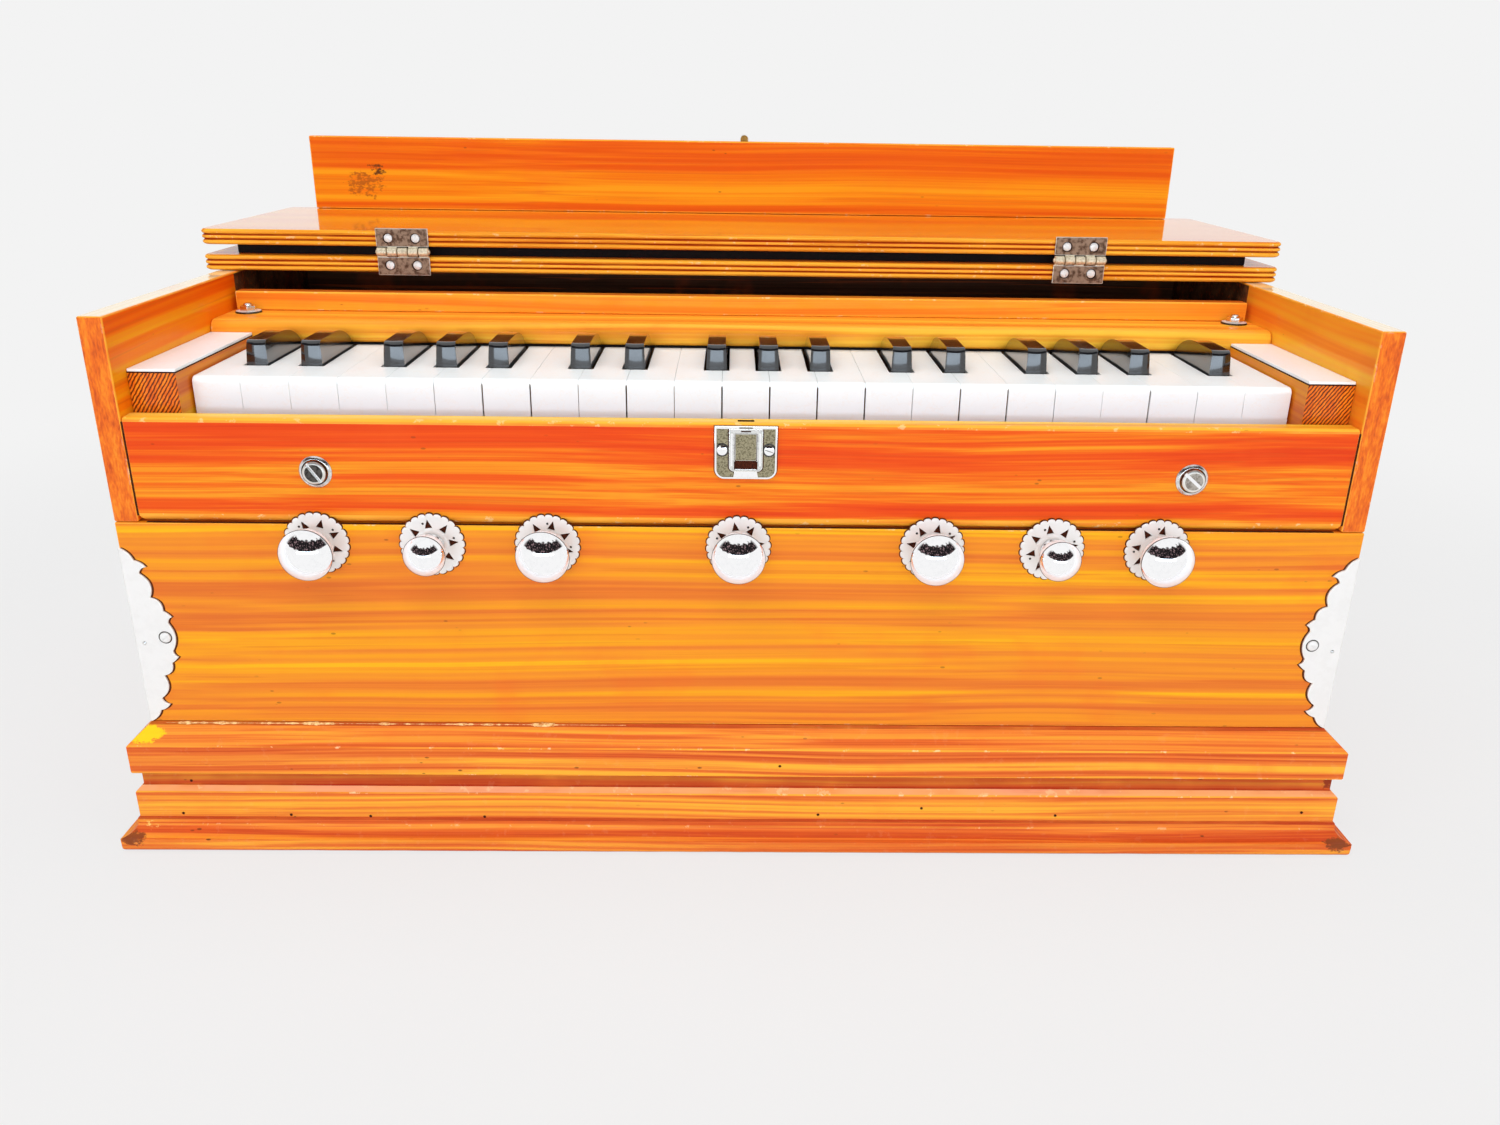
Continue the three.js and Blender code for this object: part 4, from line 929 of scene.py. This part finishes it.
# Key rail, its cap strip and the two nuts on washers
low, high = span("key_rail")
rail_top = low.z + 11.5
cap_front = high.y - 0.225 * (high.y - low.y)
outline = ([(high.y, low.z)] + arc(low.y + 5, low.z + 5, 5, 270, 180, 10)
           + arc(low.y + 5, rail_top - 5, 5, 180, 90, 10) + [(high.y, rail_top)])
bm = bevel(prism("X", outline, -half, half), 1.2, 3, lambda p: near(abs(p.x), 0.01, half))
piece("key_rail_nose", bm, "rail", "key_rail")
bm = bevel(block((-half + 2.4, cap_front, rail_top + 0.1), (half - 2.4, high.y, high.z)), 0.8, 3)
# The cap's top face is darkened red in the same way: gathered varnish and painted shade
pool_and_shade = marked(bm, "pool_and_shade")
for face in bm.faces:
    face[pool_and_shade] = 0.6 if face.normal.z > 0.9 else 0.0
piece("key_rail_cap", bm, "cap", "key_rail")
# A dark strip in the hollow under the nose: painted shadow
bm = bevel(block((-half + 1, low.y + 1.6, low.z - 0.4), (half - 1, low.y + 9, low.z + 0.6)), 0.2)
piece("key_rail_shadow_strip", bm, "shade_black_paint", "key_rail")
for side, name in SIDES:
    place = (side * (inner - 11.5), low.y + 23.8, rail_top)
    washer = lathe([(0, -0.3), (6.6, -0.3), (6.6, 0.6), (6.3, 0.95), (0, 0.95)], place, "Z", 48)
    # Dark metal on the washer's sides, bright plate on its top: painted shade on the sides
    piece(name + "_rail_washer", washer, "plate dark_metal", "key_rail",
          choose=lambda face: int(face.normal.z < 0.9))
    hexagon = arc(place[0], place[1], 4.4, 42, 402, 6)[:-1]
    bm = bevel(prism("Z", hexagon, rail_top + 0.9, rail_top + 3.6), 0.35)
    lathe([(0, 3.0), (2.4, 3.0), (2.3, 4.2), (1.6, 4.8), (0, 4.9)], place, "Z", 24, bm)
    piece(name + "_rail_nut", bm, "steel", "key_rail")

# Keys: wooden levers with coverings, a leather-faced pallet under the back end
LAMINATE = 94.3
NOTCH = 25.4
KEY_GAP = 0.32
# How far each white key stands into the gap on its right: the gaps have worn unevenly
SPREADS = [0.0] + [(KEY_GAP, 0.2, 0.0)[int(width)] for width in "0000122121222212210210"] + [0.0]
FOOT = 6.5
PALLET_LENGTH = 40
BLACK_HALF = 5


def lever_back(left, right, bm, length):
    """The bare lever behind the covering, and the pallet under it."""
    block((left, key_front + length, key_bottom), (right, key_back, key_top - 2), bm)
    block((left, key_back - PALLET_LENGTH, key_bottom - FOOT), (right, key_back, key_bottom), bm)
    block((left, key_back - PALLET_LENGTH, key_bottom - PALLET), (right, key_back, key_bottom - FOOT), bm)


def lever(node, bm, covering, bare):
    """bare tells whether a point is on bare wood."""
    def choose(face):
        middle = middle_of(face)
        return 2 if middle.z < key_bottom - FOOT else int(bare(middle))

    piece(node + "_lever", bm, covering + " bare leather", node, node, choose)


for number in range(1, 24):
    node = "white_key_%02d" % number
    low, high = span(node)
    behind = [v.co.x * 1000 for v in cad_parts[node].data.vertices if v.co.y * 1000 > key_back - 1]
    tail_left, tail_right = min(behind), max(behind)
    left, right = low.x - KEY_GAP * (number > 1), high.x + KEY_GAP * (number < 23)
    notch, back = key_front + NOTCH, key_front + LAMINATE
    plan = [(left, key_front), (right, key_front)]
    plan += [(right, notch), (tail_right, notch), (tail_right, back)] if tail_right < high.x - 1 else [(right, back)]
    plan += [(tail_left, back), (tail_left, notch), (left, notch)] if tail_left > low.x + 1 else [(left, back)]
    bm = prism("Z", plan, key_bottom, key_top)
    bevel(bm, 3, 8, lambda p: p.z > key_top - 0.01 and p.y < key_front + 0.01)
    bevel(bm, 0.28, 2, lambda p: p.z > key_top - 3.2, lambda p: p.y < key_front + 0.01)
    slice_at(bm, (0, 0, key_top - 2.2), (0, 0, 1))
    slice_at(bm, (0, key_front + 1.6, 0), (0, 1, 0))
    block((left, key_front + 0.02, key_bottom - 4), (right, key_front + 1.55, key_bottom + 0.5), bm)
    for vert in bm.verts:
        if vert.co.z < key_top - 2.1:
            vert.co.x = max(low.x - SPREADS[number - 1], min(high.x + SPREADS[number], vert.co.x))
    lever_back(tail_left, tail_right, bm, LAMINATE)
    lever(node, bm, "white", lambda p: p.y > key_front + 1.6 and p.z < key_top - 1.9)

for number in range(1, 17):
    node = "black_key_%02d" % number
    low, high = span(node)
    x = (low.x + high.x) / 2
    top, lever_top = high.z, key_top - 2
    crown = low.y + 1.4
    hump = crown + 24.5
    profile = ([(low.y, key_bottom), (low.y, key_top - 1.5)] + arc(crown + 2.8, top - 2.8, 2.8, 171, 90, 7)
               + [(hump + 24.7 * u, lever_top + (top - lever_top) * v) for u, v in arc(0, 0, 1, 90, 0, 16)]
               + [(hump + 26, lever_top), (hump + 26, key_bottom)])
    bm = prism("X", profile, x - BLACK_HALF, x + BLACK_HALF)
    bevel(bm, 0.9, 3, lambda p: p.z > key_top - 1.9 and p.y > crown - 0.01 and p.x < x,
          lambda p: p.z > key_top - 1.9 and p.y > crown - 0.01 and p.x > x, angle=50)
    for place in (-4.6, -4.1, -3.6, -3.0, -2.4, -1.6, -0.8, 0.0, 0.8, 1.6, 2.4, 3.0, 3.6, 4.1, 4.6):
        slice_at(bm, (x + place, 0, 0), (1, 0, 0))
    for vert in bm.verts:
        fade = max(0.0, min(1.0, (crown + 8 - vert.co.y) / 8))
        vert.co.y += fade * (12 - math.sqrt(144 - (vert.co.x - x) ** 2))
        share = max(0.0, (vert.co.z - key_top) / (top - key_top))
        vert.co.x = x + (vert.co.x - x) * (1 - 0.12 * share)
    lever_back(x - BLACK_HALF, x + BLACK_HALF, bm, hump + 26.1 - key_front)
    lever(node, bm, "black", lambda p: p.y > hump + 26 or p.z < key_bottom)

# Top board and lid
BOARD = 8
FOLD_GAP = 5.3
top_low, top_high = span("top_board")
half_board = top_high.x
board_front = -0.766
lid_high = span("lid")[1]
lid_back = lid_high.y
lid_bottom = top_low.z + 1.5 + BOARD + FOLD_GAP
lid_top = lid_bottom + BOARD


def reeded(name, back_edge, bottom, node, material, body):
    """A board with three reeds round its edge."""
    steps, corner = 24, 5.0
    rings = []
    for step in range(steps + 1):
        valley = 1.2 * (1 - abs(math.sin(math.pi * 3 * step / steps)) ** 0.8)
        r = corner - valley * 0.5
        x, y0, y1 = half_board - valley - r, board_front + valley + r, back_edge - valley - r
        rings.append([(u, v, bottom + BOARD * step / steps) for u, v in
                      arc(-x, y0, r, 180, 270, 6) + arc(x, y0, r, 270, 360, 6)
                      + arc(x, y1, r, 0, 90, 6) + arc(-x, y1, r, 90, 180, 6)])
    bm = stack(rings)
    bm.normal_update()
    wear_and_highlight, pool_and_shade = marked(bm, "wear_and_highlight"), marked(bm, "pool_and_shade")
    for face in bm.faces:
        height = middle_of(face).z - bottom
        # Reed crests paler, partly worn and partly painted highlight; grooves darker red, gathered varnish and painted
        # shade
        if abs(face.normal.z) < 0.95:
            face[wear_and_highlight] = 0.9 if near(height, 0.7, 1.33, 4, 6.67) else 0.0
            face[pool_and_shade] = 0.9 if near(height, 0.5, 2.67, 5.33) else 0.0
    piece(name, bm, material + " reeds", node, body=body, angle=50,
          choose=lambda face: int(abs(face.normal.z) < 0.95))


reeded("top_board_panel", top_high.y, lid_bottom - FOLD_GAP - BOARD, "top_board", "top", "case")
reeded("lid_flap", lid_back, lid_bottom, "lid", "lid", "lid")
# A dark strip in the gap under the lid flap: painted shade
felt = block((-half_board + 16, board_front + 9, lid_bottom - 5.4),
             (half_board - 16, board_front + 26, lid_bottom - 0.6))
piece("lid_gap_shadow_strip", bevel(felt, 0.6), "shade_black_paint", "top_board")
strip_half = inner - 1.3
bm = bevel(block((-strip_half, lid_back - 8, lid_top + 0.15), (strip_half, lid_back, lid_high.z - 4)), 0.7, 3)
piece("lid_strip", bm, "strip end", "lid", body="lid", choose=end_faces(0))
bm = prism("Y", [(2.6, lid_high.z - 6), (-2.6, lid_high.z - 6)] + arc(0, lid_high.z - 2.6, 2.6, 180, 0, 12),
           lid_back - 4.8, lid_back - 3.2)
piece("lid_tongue", bevel(bm, 0.3), "brass", "lid", "lid")

# Butt hinges
HINGE_WIDTH = 27.7
KNUCKLES = 5
LEAF = 9.5
KNUCKLE_GAP = 0.25
hinge_y, hinge_z = board_front - 1.25, lid_bottom - FOLD_GAP / 2


def hinge(x, name):
    pitch = HINGE_WIDTH / KNUCKLES
    left = x - HINGE_WIDTH / 2
    right = left + HINGE_WIDTH
    for upper in (False, True):
        body, node = ("lid", "lid") if upper else ("case", "top_board")
        words = name + ("_upper" if upper else "_lower")
        low = lid_bottom if upper else lid_bottom - FOLD_GAP - LEAF
        high = low + LEAF
        middle = lid_bottom + (4.4 if upper else -9.6)
        leaf = bevel(block((left, board_front - 1.1, low), (right, board_front - 0.02, high)), 0.3)
        holes = bmesh.new()
        for side, place, angle in (("left", -7.4, 30 if upper else 75), ("right", 7.0, -52 if upper else 12)):
            disc(2.75, -3, 3, (x + place, board_front - 1, middle), into=holes)
            # A dark disc round the screw head: painted shadow ring
            piece(words + "_screw_seat_" + side, disc(2.7, 0, -0.12, (x + place, board_front - 0.04, middle)), "felt",
                  node, body)
            screw(words + "_screw_" + side, (x + place, board_front - 0.24, middle), 2.3, angle, node, "plate", body)
        piece(words + "_leaf", cut(leaf, holes), "nickel", node, body)
        bm = bmesh.new()
        for knuckle in range(int(upper), KNUCKLES, 2):
            start, end = left + knuckle * pitch + KNUCKLE_GAP, left + (knuckle + 1) * pitch - KNUCKLE_GAP
            length = end - start
            lathe([(0, 0), (2.0, 0), (2.3, 0.3), (2.3, length - 0.3), (2.0, length), (0, length)],
                  (start, hinge_y, hinge_z), "X", 28, bm)
            bottom, top = sorted((low if upper else high, hinge_z))
            block((start, board_front - 1.1, bottom), (end, board_front - 0.05, top), bm)
        if not upper:
            for end, way in ((left, 1), (right, -1)):
                lathe([(0, -0.5 * way), (0.9, -0.4 * way), (1.1, 0), (1.1, 0.6 * way), (0, 0.6 * way)],
                      (end, hinge_y, hinge_z), "X", 20, bm)
        piece(words + "_knuckles", bm, "knuckle", node, body)


# Places as shares of the case's width
for name, share in (("left_hinge", -0.322), ("right_hinge", 0.318)):
    hinge(share * 2 * half_body, name)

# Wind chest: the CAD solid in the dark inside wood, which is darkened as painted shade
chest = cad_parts["wind_chest"]
chest.data.materials.clear()
chest.data.materials.append(M["inside"])

# Pump bellows: pleats round both sides and the top, closed along the hinged edge
PLEATS = 5
folds_low, folds_high = span("bellows_folds")
pump_low, pump_high = span("bellows_board")


def between(start, end, steps):
    """Points from start to just before end."""
    return [[a + (b - a) * k / steps for a, b in zip(start, end)] for k in range(steps)]


rings = []
steps = 8 * PLEATS
for step in range(steps + 1):
    y = folds_low.y + (folds_high.y - folds_low.y) * step / steps
    depth = 15 * (0.5 - 0.5 * math.cos(2 * math.pi * PLEATS * step / steps)) ** 1.6
    left, right, low, high = folds_low.x + depth, folds_high.x - depth, folds_low.z, folds_high.z - depth
    points = (between((left, low), (left, high), 24) + between((left, high), (right, high), 60)
              + between((right, high), (right, low), 24) + between((right, low), (left, low), 60))
    rings.append([(x, y, z) for x, z in points])
folds = piece("pump_bellows_folds", stack(rings), "leather", "bellows_folds", None, angle=80)
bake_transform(folds)
middle = (pump_low.y + pump_high.y) / 2
outline = (arc(middle, pump_low.z + 6, 6, 180, 360, 12) + arc(pump_high.y - 2, pump_high.z - 2, 2, 0, 90, 5)
           + [(pump_low.y, pump_high.z)])
bm = prism("X", outline, pump_low.x, pump_high.x)
bevel(bm, 0.8, 2, lambda p: near(abs(p.x), 0.01, pump_high.x))
inlets = bmesh.new()
for k in range(5):
    disc(5, -20, 20, ((k - 2) * 26, middle, (pump_low.z + pump_high.z) / 2), into=inlets)
piece("pump_board_panel", cut(bm, inlets), "pump end", "bellows_board", body="bellows_board",
      choose=end_faces(pump_high.x - 1))

# Stage
BACKGROUND = (243, 243, 243)
MIRRORED = (251, 251, 251)


def add_stage():
    """A pale floor that rises behind the object."""
    material = bpy.data.materials.new("floor")
    tree = Tree(material)
    paper = tree.mix(tree.noise(9, 3.0), (226, 226, 226), (220, 220, 220))
    matt = tree.node("BsdfDiffuse", {"Color": paper}).outputs[0]
    glow, mirrored = [tree.node("Emission", {"Color": colour}).outputs[0] for colour in (BACKGROUND, MIRRORED)]
    share = tree.step(tree.length(tree.place), 0.5, 1.0, 0.8, 1.0)
    shown = tree.blend(tree.times(tree.ray("Camera"), share), matt, glow)
    tree.node("OutputMaterial", {"Surface": tree.blend(tree.ray("Glossy"), shown, mirrored)})
    bm = bmesh.new()
    profile = [(-6, 0), (2.2, 0)] + arc(2.2, 1.2, 1.2, -90, 0, 12) + [(3.4, 6)]
    rows = [[bm.verts.new((x, y, z)) for y, z in profile] for x in (-8, 8)]
    for here in range(len(profile) - 1):
        bm.faces.new((rows[0][here], rows[1][here], rows[1][here + 1], rows[0][here + 1]))
    mesh = bpy.data.meshes.new("studio_floor")
    bm.to_mesh(mesh)
    bm.free()
    mesh.materials.append(material)
    mesh.shade_smooth()
    link("studio_floor", mesh)


def add_light(name, place, target, size, size_y, watts, colour=(255, 255, 255), mirrored=False):
    data = bpy.data.lights.new(name, "AREA")
    data.energy = watts
    data.shape = "RECTANGLE"
    data.size = size
    data.size_y = size_y
    data.color = linear(*colour)[:3]
    lamp = link(name, data)
    lamp.location = place
    lamp.rotation_euler = (Vector(target) - Vector(place)).to_track_quat("-Z", "Y").to_euler()
    lamp.visible_glossy = mirrored


def add_world():
    """White room; reflections show a dark, patchy band in front."""
    world = bpy.data.worlds.new("studio")
    bpy.context.scene.world = world
    tree = Tree(world, "Generated")
    parts = tree.node("SeparateXYZ", {0: tree.place}).outputs
    wobble = tree.noise(6, 4.0)
    aside = tree.math("ABSOLUTE", parts["X"])
    lower = tree.scaled(aside, -0.2, tree.scaled(wobble, 0.2, parts["Z"]))
    height = tree.scaled(wobble, 0.34, parts["Z"])
    band = tree.times(tree.step(lower, 0.2, 0.23), tree.step(height, 0.86, 0.94, 1.0, 0.0))
    band = tree.times(band, tree.step(tree.scaled(wobble, 0.5, aside), 1.15, 1.25, 1.0, 0.0))
    band = tree.times(band, tree.step(parts["Y"], -0.3, -0.1, 1.0, 0.0))
    dark = tree.mix(tree.step(tree.noise(12, 4.0), 0.52, 0.66), (28, 26, 28), (150, 124, 128))
    room, backdrop, soft = [
        tree.node("Background", {"Color": colour, "Strength": strength}).outputs[0]
        for colour, strength in ((tree.mix(band, MIRRORED, dark), 1.0), (BACKGROUND, 1.0), ((255, 255, 255), 0.5))]
    shown = tree.blend(tree.ray("Glossy"), soft, room)
    tree.node("OutputWorld", {"Surface": tree.blend(tree.ray("Camera"), shown, backdrop)})


add_stage()
add_world()
add_light("key_light", (-0.3, -0.9, 1.6), (0, 0, 0.15), 1.7, 0.25, 8.6)
add_light("fill_light", (1.5, -1.2, 0.9), (0, 0, 0.15), 0.8, 0.8, 4)
add_light("top_light", (0.0, 0.2, 1.9), (0, 0, 0.2), 1.8, 1.0, 10.2)
add_light("front_light", (-0.2, -2.0, 0.6), (0, 0, 0.2), 1.5, 0.5, 10, (238, 244, 255))
add_light("low_light", (0.0, -2.0, 0.34), (0, 0, 0.2), 2.5, 0.24, 8.3, (216, 236, 255), mirrored=True)

scene = bpy.context.scene
scene.view_settings.view_transform = "Standard"
